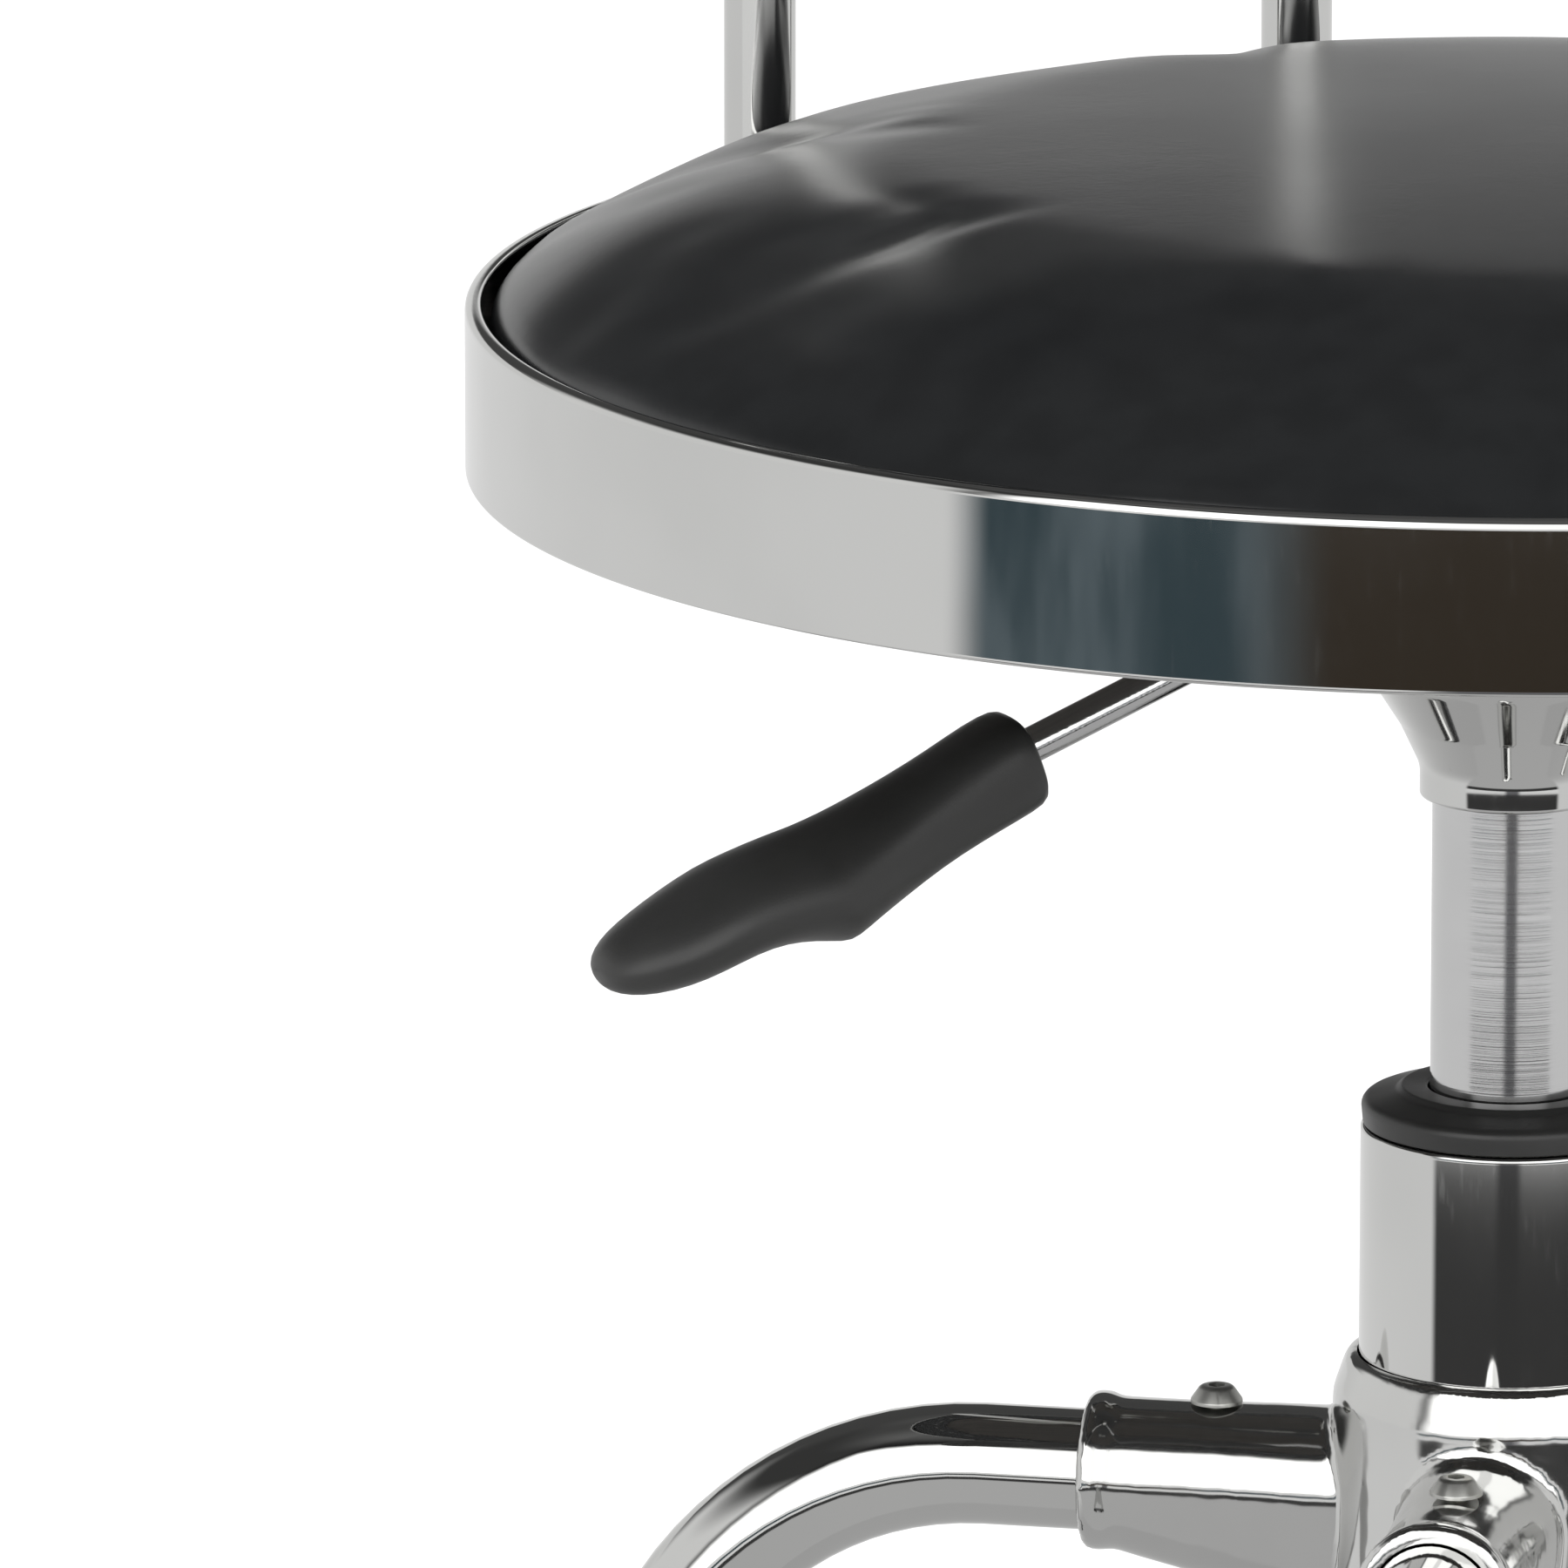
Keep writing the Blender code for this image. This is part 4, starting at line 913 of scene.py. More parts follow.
def make_underside():
    """Board, the cover's hem with its staples, and the pressed plate."""
    seat = settings("seat")
    repaint("seat_board", finish("birch_plywood"))
    board_radius, board_bottom = high("seat_board").x, low("seat_board").z
    inner = board_radius - seat.hem_width
    hem = bmesh.new()
    count = 180
    rows = [(board_radius, 0.0), (board_radius - 0.004, 0.0), (board_radius - 0.012, 0.3)]
    rows += [(inner + 0.004, 0.8), (inner, 1.0)]
    loops = []
    for face_drop in (0.0008, 0.0001):
        for radius, pleated in rows if face_drop > 0.0005 else reversed(rows):
            loop = []
            for k in range(count):
                turn = 2 * math.pi * k / count
                fold = 0.00035 * pleated * math.sin(turn * 45 + math.sin(turn * 7) * 2)
                ragged = 0.0012 * pleated * math.sin(turn * 13 + 1.0) * math.sin(turn * 5)
                z = board_bottom - face_drop - (abs(fold) if face_drop > 0.0005 else 0)
                loop.append(hem.verts.new(turned_about_z(turn) * (radius + ragged) + UP * z))
            loops.append(loop)
    for first, second in zip(loops, loops[1:] + loops[:1]):
        join_loops(hem, first, second)
    fit(piece_from("cover_hem", hem, finish("black_vinyl"), sharp=60), "seat", "black_vinyl")
    staple = piece_from("staple", box_shape((-0.0003, -0.0045, -0.0003), (0.0003, 0.0045, 0.0003), 0.0001, 1))
    staples = grown(
        "hem_staples",
        "Item Ring",
        [],
        Item=staple,
        Count=seat.staples,
        Radius=inner + 0.008,
        Height=board_bottom - 0.0013,
        Material=finish("zinc_plate"),
    )
    discard(staple)
    fit(staples, "seat", "zinc_steel")

    plate_low, plate_high = low("seat_plate"), high("seat_plate")
    half = plate_high.x
    corners = ((-half, -half), (half, -half), (half, half), (-half, half))
    outline = rounded([(x, y, 0.015) for x, y in corners], 8)
    edge, above, below = 0.0006, plate_high.z, plate_low.z
    levels = [(above, edge), (above - edge, 0.0), (below + edge, 0.0), (below, edge)]
    sections = [[Vector((x * (1 - s / half), y * (1 - s / half), z)) for x, y in outline] for z, s in levels]
    plate = piece_from("pressed_plate", skin(sections), finish("black_paint"))
    rib_reach = half - 0.012
    for x0, y0, x1, y1 in (
        (-rib_reach + 0.02, 0.046, rib_reach - 0.02, 0.052),
        (-rib_reach + 0.02, -0.052, rib_reach - 0.02, -0.046),
        (0.046, -0.034, 0.052, 0.034),
    ):
        rib = box_shape((x0, y0, plate_low.z - 0.0016), (x1, y1, plate_low.z + 0.001), 0.0014, 3)
        combine(plate, cutter(rib), "UNION")
    for i in range(1, 5):
        where = middle(f"plate_screw_{i}")
        hole = lathe([(0, -0.01), (0.0026, -0.01), (0.0026, 0.01), (0, 0.01)], 32)
        combine(plate, cutter(hole, Matrix.Translation((where.x, where.y, plate_low.z))))
    resharpen(plate)
    fit(plate, "seat", "black_paint", "seat_plate")


def make_post_socket():
    """The pressed housing for the lever, drawn down into the sleeve that grips the cylinder."""
    lift = settings("lift")
    top, bottom = high("seat_post_socket").z, low("seat_post_socket").z
    housing = high("seat_post_socket").x
    inner = lift.cylinder_radius + FACE_GAP
    sleeve = inner + 0.0019
    floor_z = top - 0.0369
    neck = floor_z - 0.0128
    wall = 0.002
    outline = rounded(
        [
            (housing, top, 0.0),
            (housing, floor_z, 0.004),
            (sleeve + 0.0035, floor_z - 0.0095, 0.006),
            (sleeve, neck - 0.004, 0.006),
            (sleeve, bottom, 0.0007),
            (inner, bottom, 0.0005),
            (inner, floor_z + wall, 0.0),
            (housing - wall, floor_z + wall, 0.001),
            (housing - wall, top, 0.0),
        ]
    )
    socket = piece_from("post_socket", lathe(outline, 96), finish("polished_chrome"))
    pivot = Vector(JOINTS["lever_tilt"]["pos_m"])
    half_width = lift.rod_radius + 0.0012
    reach = housing * 1.2
    drop = (reach + pivot.x) * math.tan(lift.slope + math.radians(10)) + lift.rod_radius
    slot_low = (-reach, -half_width, pivot.z - drop)
    slot_high = (-housing * 0.6, half_width, pivot.z + lift.rod_radius)
    combine(socket, cutter(box_shape(slot_low, slot_high)))
    resharpen(socket)
    fit(socket, "seat", "chrome", "seat_post_socket")
    pin_half = (high("lever_pivot_pin").y - low("lever_pivot_pin").y) / 2 + 0.0006
    r = 0.0014
    pin = rounded([(0, pin_half, 0), (r, pin_half, 0.0004), (r, -pin_half, 0.0004), (0, -pin_half, 0)], 3)
    place = Matrix.Translation(pivot) @ Matrix.Rotation(math.pi / 2, 4, "X")
    turned_piece("pivot_pin", pin, 32, "zinc_plate", "seat", "zinc_steel", "lever_pivot_pin", place=place)


# ---- Height lever and gas lift ----


def make_lever():
    """The lever's plated rod and its moulded handle."""
    lift = settings("lift")
    pivot = Vector(JOINTS["lever_tilt"]["pos_m"])
    outward = Vector((-math.cos(lift.slope), 0, -math.sin(lift.slope)))
    side = Vector((0, 1, 0))
    upward = side.cross(outward)
    r = lift.rod_radius

    def section(reach, half_width, half_height, drop=0.0, power=2.0, sides=40):
        centre = pivot + outward * reach - upward * drop
        ring = []
        for k in range(sides):
            turn = 2 * math.pi * k / sides
            c, s = math.cos(turn), math.sin(turn)
            across = math.copysign(abs(c) ** (2 / power), c) * half_width
            rise = math.copysign(abs(s) ** (2 / power), s) * half_height
            ring.append(centre + side * across + upward * rise)
        return ring

    rod = [
        (-0.0165, r * 0.55, r * 0.6),
        (-0.0158, r * 0.75, r * 0.8),
        (0.003, r * 0.75, r * 1.12),
        (0.008, r, r),
        (0.104, r, r),
        (0.105, r * 0.8, r * 0.8),
    ]
    stem = piece_from("lever_stem", skin([section(*row) for row in rod]), finish("satin_chrome"))
    fit(stem, "lever", "satin_chrome", "lever_rod")

    # Each row: from the pivot, half width, half height, drop of the middle below the rod, squareness
    rows = [
        (0.0835, 0.0060, 0.0050, 0.0005, 2.6),
        (0.0838, 0.0078, 0.0073, 0.0006, 2.8),
        (0.0848, 0.0086, 0.0085, 0.0008, 2.9),
        (0.0900, 0.0088, 0.0087, 0.0010, 2.8),
        (0.0980, 0.0090, 0.0084, 0.0018, 2.6),
        (0.1060, 0.0096, 0.0085, 0.0026, 2.4),
        (0.1140, 0.0106, 0.0092, 0.0036, 2.2),
        (0.1200, 0.0116, 0.0098, 0.0043, 2.1),
        (0.1245, 0.0124, 0.0106, 0.0048, 2.0),
        (0.1265, 0.0127, 0.0105, 0.0046, 2.0),
        (0.1310, 0.0130, 0.0094, 0.0031, 2.0),
        (0.1370, 0.0132, 0.0082, 0.0018, 2.1),
        (0.1430, 0.0134, 0.0076, 0.0013, 2.2),
        (0.1500, 0.0134, 0.0071, 0.0018, 2.2),
        (0.1560, 0.0126, 0.0066, 0.0021, 2.1),
        (0.1615, 0.0106, 0.0055, 0.0020, 2.1),
        (0.1650, 0.0082, 0.0043, 0.0019, 2.0),
        (0.1672, 0.0052, 0.0028, 0.0018, 2.0),
        (0.1680, 0.0020, 0.0012, 0.0018, 2.0),
    ]
    grip = skin([section(*row, 48) for row in rows])
    handle = piece_from("lever_grip", grip, finish("black_plastic"), sharp=60)
    subdivided(handle)
    bore = skin([section(reach, r + FACE_GAP, r + FACE_GAP) for reach in (0.07, 0.105)])
    combine(handle, cutter(bore))
    resharpen(handle, 50)
    fit(handle, "lever", "black_plastic", "lever_handle")


def make_gas_lift():
    """The cylinder with its button, and what stays inside the column."""
    lift = settings("lift")
    radius, top, bottom = lift.cylinder_radius, high("gas_cylinder").z, low("gas_cylinder").z
    outline = rounded(
        [
            (0, top - 0.0095, 0.0),
            (0.0041, top - 0.0095, 0.0),
            (0.0041, top, 0.0004),
            (radius * 0.72, top, 0.0006),
            (radius, top - 0.0035, 0.001),
            (radius, bottom, 0.0012),
            (0.0055, bottom, 0.0),
            (0, bottom + 0.004, 0.0),
        ]
    )
    turned_piece("lift_cylinder", outline, 96, "satin_chrome", "seat", "satin_chrome", "gas_cylinder")
    foot, head, r = low("valve_button").z, high("valve_button").z, 0.004
    button = rounded([(0, head, 0), (r, head, 0.001), (r, foot, 0.0), (0, foot, 0)])
    turned_piece("release_button", button, 40, "zinc_plate", "valve", "zinc_steel", "valve_button")
    repaint("piston_rod", finish("satin_chrome"))
    repaint("stop_bumper", finish("black_rubber"))
    repaint("guide_bush", finish("acetal"))
    for node in ("rod_clip", "bearing_upper_race", "bearing_lower_race", "bearing_ball_cage"):
        repaint(node, finish("zinc_plate"))


def make_column():
    """The column tube with a turned bottom, and its moulded cap."""
    lift = settings("lift")
    radius, top, bottom = lift.column_radius, high("column_tube").z, low("column_tube").z
    inner = radius - 0.002
    outline = rounded(
        [
            (radius, top, 0.0006),
            (radius, bottom, 0.003),
            (0.0053, bottom, 0.0004),
            (0.0053, bottom + 0.003, 0.0),
            (inner, bottom + 0.003, 0.001),
            (inner, top, 0.0004),
        ]
    )
    turned_piece("column_sleeve", outline, 128, "polished_chrome", "base", "chrome", "column_tube")
    cap_low, cap_high = low("column_cap").z, high("column_cap").z
    slide = lift.cylinder_radius + FACE_GAP
    cap = rounded(
        [
            (radius - 0.0004, cap_low, 0.0004),
            (radius, cap_high - 0.0024, 0.0016),
            (radius - 0.006, cap_high - 0.0008, 0.002),
            (slide + 0.0045, cap_high, 0.0008),
            (slide, cap_high, 0.0006),
            (slide, cap_low, 0.0),
        ]
    )
    turned_piece("column_collar", cap, 128, "black_plastic", "base", "black_plastic", "column_cap")


# ---- Base ----


def leg_angles():
    """The direction of each leg, from its caster's stem."""
    places = [Vector(JOINTS[f"caster_{i}_swivel"]["pos_m"]) for i in range(1, settings("base").legs + 1)]
    return [math.atan2(place.y, place.x) for place in places]


def leg_axis():
    """The height of the leg tubes' middle in the hub."""
    return high("leg_1").z - settings("base").leg_radius * SLIM_FLAT


def make_hub():
    """A cast hub: a collar on the column with four sockets, run together with fillets and plated."""
    base, lift = settings("base"), settings("lift")
    axis_z = leg_axis()
    top, bottom = high("leg_hub").z, low("leg_hub").z
    collar_radius = 0.0296
    reach_of_arm = 0.0728
    arm = base.arm_radius
    root = axis_z - bottom - 0.005
    collar = rounded(
        [
            (0, top + 0.001, 0),
            (collar_radius - 0.0022, top + 0.001, 0.0012),
            (collar_radius + 0.0002, top - 0.006, 0.003),
            (collar_radius + 0.0004, bottom, 0.003),
            (0, bottom, 0),
        ]
    )
    hub = piece_from("cast_hub", lathe(collar, 96), finish("cast_chrome"))
    arms = []
    for angle in leg_angles():
        outward = turned_about_z(angle)
        across = UP.cross(outward)

        def section(reach, half_width, above, below, sides=40):
            ring = []
            for k in range(sides):
                turn = 2 * math.pi * k / sides
                c, s = math.cos(turn), math.sin(turn)
                rise = s * (above if s > 0 else below)
                ring.append(outward * reach + across * half_width * c + UP * (axis_z + rise))
            return ring

        sections = [
            section(0.012, arm * 1.12, arm * 1.04, root),
            section(0.030, arm * 1.08, arm * 1.03, root),
            section(0.040, arm * 1.04, arm * 1.02, root * 0.86),
            section(0.052, arm, arm, root * 0.72),
            section(0.064, arm, arm, arm * 1.12),
            section(0.0682, arm, arm, arm * 1.03),
            section(0.0690, arm * 1.06, arm * 1.06, arm * 1.06),
            section(reach_of_arm - 0.0006, arm * 1.07, arm * 1.07, arm * 1.07),
            section(reach_of_arm + 0.0002, arm * 1.0, arm * 1.0, arm * 1.0),
        ]
        arms.append(piece_from("arm", skin(sections), finish("cast_chrome")))
    absorb(hub, *arms)
    remeshed(hub, 0.00085)
    smoothed(hub, 9, 0.6)
    column, past = lift.column_radius + FACE_GAP, 0.01
    shaft = [(0, bottom - past), (column, bottom - past), (column, top + past), (0, top + past)]
    combine(hub, cutter(lathe(shaft, 96)))
    for angle in leg_angles():
        outward = turned_about_z(angle)
        across = UP.cross(outward)
        ends = [outward * reach + UP * axis_z for reach in (0.0305, 0.08)]
        combine(hub, cutter(swept(ends, (base.leg_radius + FACE_GAP,) * 2, across, 48)))
        hole = lathe([(0, 0), (0.0026, 0), (0.0026, 0.02), (0, 0.02)], 24)
        combine(hub, cutter(hole, Matrix.Translation(outward * 0.0505 + UP * axis_z)))
    resharpen(hub, 50)
    fit(hub, "base", "chrome", "leg_hub")


def leg_line():
    """The first leg's centre line in its own upright plane, as (reach, height) points."""
    base = settings("base")
    axis_z = leg_axis()
    foot = Vector(JOINTS["caster_1_swivel"]["pos_m"])
    reach, end_z = foot.xy.length, foot.z
    slope = math.radians(62)
    bend = 0.0909 + base.shoulder * math.tan(slope / 2)
    drop = axis_z - (end_z + 0.022 + base.ankle * math.tan((math.pi / 2 - slope) / 2))
    corner = bend + drop / math.tan(slope)
    ankle_z = axis_z - (corner - bend) * math.tan(slope)
    corners = [(0.0306, axis_z, 0), (bend, axis_z, base.shoulder)]
    corners += [(reach, ankle_z, base.ankle), (reach, end_z, 0)]
    return rounded(corners, 14)


def make_legs():
    """Four bent tubes, each with a moulded sleeve where the caster goes in."""
    base = settings("base")
    first = turned_about_z(leg_angles()[0])
    points = [first * reach + UP * height for reach, height in leg_line()]
    edges = [(i, i + 1) for i in range(len(points) - 1)]
    sizes = {"Tube Radius": base.leg_radius, "Tube Sides": 48, "Legs": base.legs}
    legs = grown("leg_tubes", "Leg Star", points, edges, Material=finish("polished_chrome"), **sizes)
    fit(legs, "base", "chrome", *[f"leg_{i}" for i in range(1, base.legs + 1)])
    foot_z = points[-1].z
    inner, outer = 0.0062, base.leg_radius + 0.0007
    cuff = rounded(
        [
            (outer, foot_z + 0.0001, 0.0005),
            (outer, foot_z + 0.006, 0.0006),
            (outer - 0.0006, foot_z + 0.006, 0.0),
            (inner, foot_z + 0.006, 0.0),
            (inner, foot_z + 0.0001, 0.0003),
        ]
    )
    cuffs = []
    for angle in leg_angles():
        place = Matrix.Translation(turned_about_z(angle) * points[-1].xy.length)
        cuffs.append(piece_from("leg_cuffs", lathe(cuff, 48), finish("black_plastic"), place=place))
    absorb(cuffs[0], *cuffs[1:])
    fit(cuffs[0], "base", "black_plastic")


def button_head():
    """A domed screw head with a six-sided recess and a short shank, standing on z = 0."""
    r, h = 0.0045, 0.003
    shank = 0.002
    corners = [(0, h, 0), (r * 0.62, h, r * 0.3), (r, h * 0.18, 0.0004), (r, 0, 0)]
    outline = rounded([*corners, (shank, 0, 0), (shank, -h, 0), (0, -h, 0)], 4)
    head = piece_from("button_head", lathe(outline, 36))
    recess = lathe([(0, h * 0.35), (0.0016, h * 0.4), (0.0016, h * 2), (0, h * 2)], 6)
    combine(head, cutter(recess))
    return head


def make_fixings():
    """The screws through the hub's sockets, and those of the seat's plate and the backrest."""
    head = button_head()
    groups = {"leg_fixings": ("base", "leg_screw"), "seat_fixings": ("seat", "plate_screw", "back_screw")}
    for name, (body, *kinds) in groups.items():
        nodes = [node for node in frame["nodes"] if node.startswith(tuple(kinds))]
        points, aims = [], []
        for node in nodes:
            lowest, highest, centre = low(node), high(node), middle(node)
            head_height = 0.003
            if node.startswith("leg"):
                aim, place = UP, Vector((centre.x, centre.y, highest.z - head_height))
            elif node.startswith("plate"):
                aim, place = -UP, Vector((centre.x, centre.y, lowest.z + head_height))
            else:
                aim, place = Vector((0, 1, 0)), Vector((centre.x, highest.y - head_height, centre.z))
            points.append(place)
            aims.append(aim)
        screws = grown(name, "Aimed Items", points, aims=aims, Item=head, Material=finish("zinc_plate"))
        fit(screws, body, "zinc_steel", *nodes)
    discard(head)


# ---- Casters ----


def make_caster_shell():
    """A caster's moulded body, in its own frame: stem on Z, wheels trailing to +X."""
    base = settings("base")
    radius = base.wheel_radius
    axle_x, axle_z = 0.016, radius
    half_web, width = 0.004, 0.0125
    hood_in, hood_out = radius + 0.001, radius + 0.0035
    boss_bottom, boss_top = radius * 2 + 0.0015, 0.0674

    def around(r, degrees):
        turn = math.radians(degrees)
        return Vector((axle_x + r * math.cos(turn), 0, axle_z + r * math.sin(turn)))

    half_hood = half_web + FACE_GAP + width
    sections = []
    for k in range(37):
        angle = 15 + 150 * k / 36
        end = min(1.0, min(k, 36 - k) / 2)
        thick = (hood_out - hood_in) * (0.55 + 0.45 * end)
        outer = hood_in + thick
        inside = (hood_in, half_hood, 0.0004)
        cross = rounded(
            [(hood_in, -half_hood, 0.0004), (outer, -half_hood, 0.001), (outer, half_hood, 0.001), inside], 4
        )
        sections.append([around(r, angle) + Vector((0, y, 0)) for r, y in cross])
    shell = piece_from("caster_shell", skin(sections), finish("black_plastic"))
    web = [around(radius * 0.72, a) for a in range(-150, 41, 10)]
    web += [around(hood_in + 0.001, a) for a in range(50, 151, 10)]
    web.append(Vector((-0.0075, 0, radius * 1.2)))
    slab = skin([[p + Vector((0, y, 0)) for p in web] for y in (-half_web, half_web)])
    combine(shell, cutter(slab), "UNION")
    neck = box_shape((-0.0085, -half_web, radius * 1.3), (0.0085, half_web, boss_bottom + 0.003), 0.0008, 2)
    combine(shell, cutter(neck), "UNION")
    shoulder = (0.0108, boss_bottom - 0.002, 0.0008)
    boss = rounded([(0, boss_top, 0), (0.0095, boss_top, 0.0008), shoulder, (0, boss_bottom - 0.003, 0)], 4)
    combine(shell, cutter(lathe(boss, 48)), "UNION")
    axle = swept([Vector((axle_x, y, axle_z)) for y in (-0.0114, 0.0114)], (0.0025,) * 2, UP, 24)
    combine(shell, cutter(axle), "UNION")
    resharpen(shell, 35)
    stem_top, stem_foot, r = 0.105, boss_top - 0.0004, 0.0055
    stem = rounded([(0, stem_top, 0), (r, stem_top, 0.0012), (r, stem_foot, 0.0), (0, stem_foot, 0)], 4)
    absorb(shell, piece_from("stem", lathe(stem, 32), finish("zinc_plate")))
    return shell


def make_wheel():
    """A wheel about Z: tread, dished face with ribs and a small cap. Its inner face is at z = 0."""
    base = settings("base")
    radius, width = base.wheel_radius, 0.0125
    bore = 0.0026
    outline = rounded(
        [
            (0, width - 0.0012, 0),
            (radius * 0.30, width - 0.0012, 0.0004),
            (radius * 0.34, width - 0.0028, 0.0004),
            (radius * 0.66, width - 0.0026, 0.0006),
            (radius * 0.74, width - 0.0003, 0.0008),
            (radius * 0.86, width, 0.0012),
            (radius, width - 0.0022, 0.0022),
            (radius, 0.0012, 0.0010),
            (radius * 0.93, 0, 0.0006),
            (bore, 0, 0),
            (bore, width * 0.75, 0),
            (0, width * 0.75, 0),
        ],
        4,
    )
    wheel = piece_from("wheel", lathe(outline, 72), finish("nylon_tread"))
    rib_shape = box_shape((-radius * 0.17, -0.0009, -0.0015), (radius * 0.17, 0.0009, 0.0009), 0.0003, 2)
    rib = piece_from("rib", rib_shape)
    ribs = grown(
        "ribs",
        "Item Ring",
        [],
        Item=rib,
        Count=base.wheel_ribs,
        Radius=radius * 0.50,
        Height=width - 0.0026,
        Material=finish("nylon_tread"),
    )
    discard(rib)
    absorb(wheel, ribs)
    resharpen(wheel, 35)
    return wheel


def copy_at(template, name, place):
    piece = bpy.data.objects.new(name, template.data.copy())
    piece.data.name = name
    piece.data.transform(place)
    bpy.context.scene.collection.objects.link(piece)
    return piece


def make_casters():
    """Four twin-wheel casters, each turned as it trails at rest."""
    base = settings("base")
    shell, wheel = make_caster_shell(), make_wheel()
    for i in range(1, base.legs + 1):
        pivot = Vector(JOINTS[f"caster_{i}_swivel"]["pos_m"])
        spin = Vector(JOINTS[f"caster_{i}_spin_right"]["axis"])
        heading = math.atan2(-spin.x, spin.y)
        place = Matrix.Translation((pivot.x, pivot.y, 0)) @ Matrix.Rotation(heading, 4, "Z")
        fit(copy_at(shell, f"caster_shell_{i}", place), f"caster_{i}", "black_plastic", f"caster_{i}_body")
        for side, label in ((1, "right"), (-1, "left")):
            stand = Matrix.Translation((0.016, side * 0.0043, base.wheel_radius))
            local = stand @ Matrix.Rotation(-side * math.pi / 2, 4, "X")
            body = f"caster_{i}_wheel_{label}"
            fit(copy_at(wheel, f"wheel_{i}_{label}", place @ local), body, "wheel_nylon", body)
    discard(shell, wheel)


# ---- Backrest ----


def curve_back(x):
    """How far the backrest comes forward at x."""
    return x * x / (2 * settings("back").curve)


def arc(radius, centre_z, start, sweep, steps=16):
    turns = [start + sweep * k / steps for k in range(steps + 1)]
    return [(radius * math.cos(a), centre_z + radius * math.sin(a)) for a in turns]


def strap_clamp(label, x, run_z):
    """A strap over the rod, with a screw in each of its feet."""
    node = f"upright_clamp_{label}"
    lowest, highest = low(node), high(node)
    strap, foot = 0.0022, 0.0022
    half = (highest.x - lowest.x) / 2
    inner = settings("back").rod_radius + FACE_GAP
    outer = inner + strap
    top_z = highest.z
    foot_z = top_z - foot
    profile = [(-half, top_z), (-half, foot_z), (-outer - 0.001, foot_z)]
    profile += arc(outer, run_z, math.pi, math.pi)
    profile += [(outer + 0.001, foot_z), (half, foot_z), (half, top_z), (inner, top_z)]
    profile += arc(inner, run_z, 0.0, -math.pi)
    profile.append((-inner, top_z))
    ends = (lowest.y + 0.006, highest.y - 0.006)
    shape = skin([[Vector((x + u, y, z)) for u, z in profile] for y in ends])
    clamp = piece_from(f"strap_clamp_{label}", shape, finish("zinc_plate"))
    bevelled(clamp, 0.0004, 2)
    dome = rounded([(0, -0.0018, 0), (0.0026, -0.0018, 0.0012), (0.0034, 0, 0), (0, 0, 0)], 4)
    heads = []
    for side in (-1, 1):
        spot = Matrix.Translation((x + side * (half - 0.0042), (ends[0] + ends[1]) / 2, foot_z))
        heads.append(piece_from("clamp_screw", lathe(dome, 24), finish("zinc_plate"), place=spot))
    absorb(clamp, *heads)
    screws = [screw for screw in frame["nodes"] if screw.startswith(f"clamp_screw_{label}")]
    fit(clamp, "seat", "zinc_steel", node, *screws)


def make_rods():
    """Two chrome rods, upright behind the seat and bent forwards under it, in strap clamps."""
    back = settings("back")
    radius, bend = back.rod_radius, back.rod_bend
    turns = (0.25, 0.6, 1.0, 1.3, math.pi / 2)
    dome = [(radius * (1 - math.cos(a)) * 0.5, radius * math.sin(a)) for a in turns]
    for label in ("right", "left"):
        node = f"back_upright_{label}"
        x, top, end_y = middle(node).x, high(node).z, low(node).y
        y = high(node).y - radius * SLIM_FLAT
        run_z = low(node).z + radius * SLIM_FLAT
        path = [Vector((x, y, top - drop)) for drop, _ in dome]
        for k in range(15):
            turn = math.pi / 2 * k / 14
            path.append(Vector((x, y - bend * (1 - math.cos(turn)), run_z + bend * (1 - math.sin(turn)))))
        path += [Vector((x, end_y + drop, run_z)) for drop, _ in reversed(dome)]
        radii = [r for _, r in dome] + [radius] * 15 + [r for _, r in reversed(dome)]
        bar = swept(path, radii, Vector((1, 0, 0)), 48)
        fit(piece_from(f"back_rod_{label}", bar, finish("polished_chrome")), "seat", "chrome", node)
        strap_clamp(label, x, run_z)


def back_outline(inset, steps=10):
    """The backrest's rounded outline, moved in by inset, as (x, z) about its middle."""
    back = settings("back")
    size = high("back_shell") - low("back_shell")
    u, v, r = size.x / 2 - inset, size.z / 2 - inset, back.corner - inset
    points = rounded([(-u, -v, r), (u, -v, r), (u, v, r), (-u, v, r)], steps)
    fine = []
    for first, second in zip(points, points[1:] + points[:1]):
        pieces = max(1, round((Vector(second) - Vector(first)).length / 0.006))
        for k in range(pieces):
            fine.append(tuple(Vector(first).lerp(Vector(second), k / pieces)))
    return fine


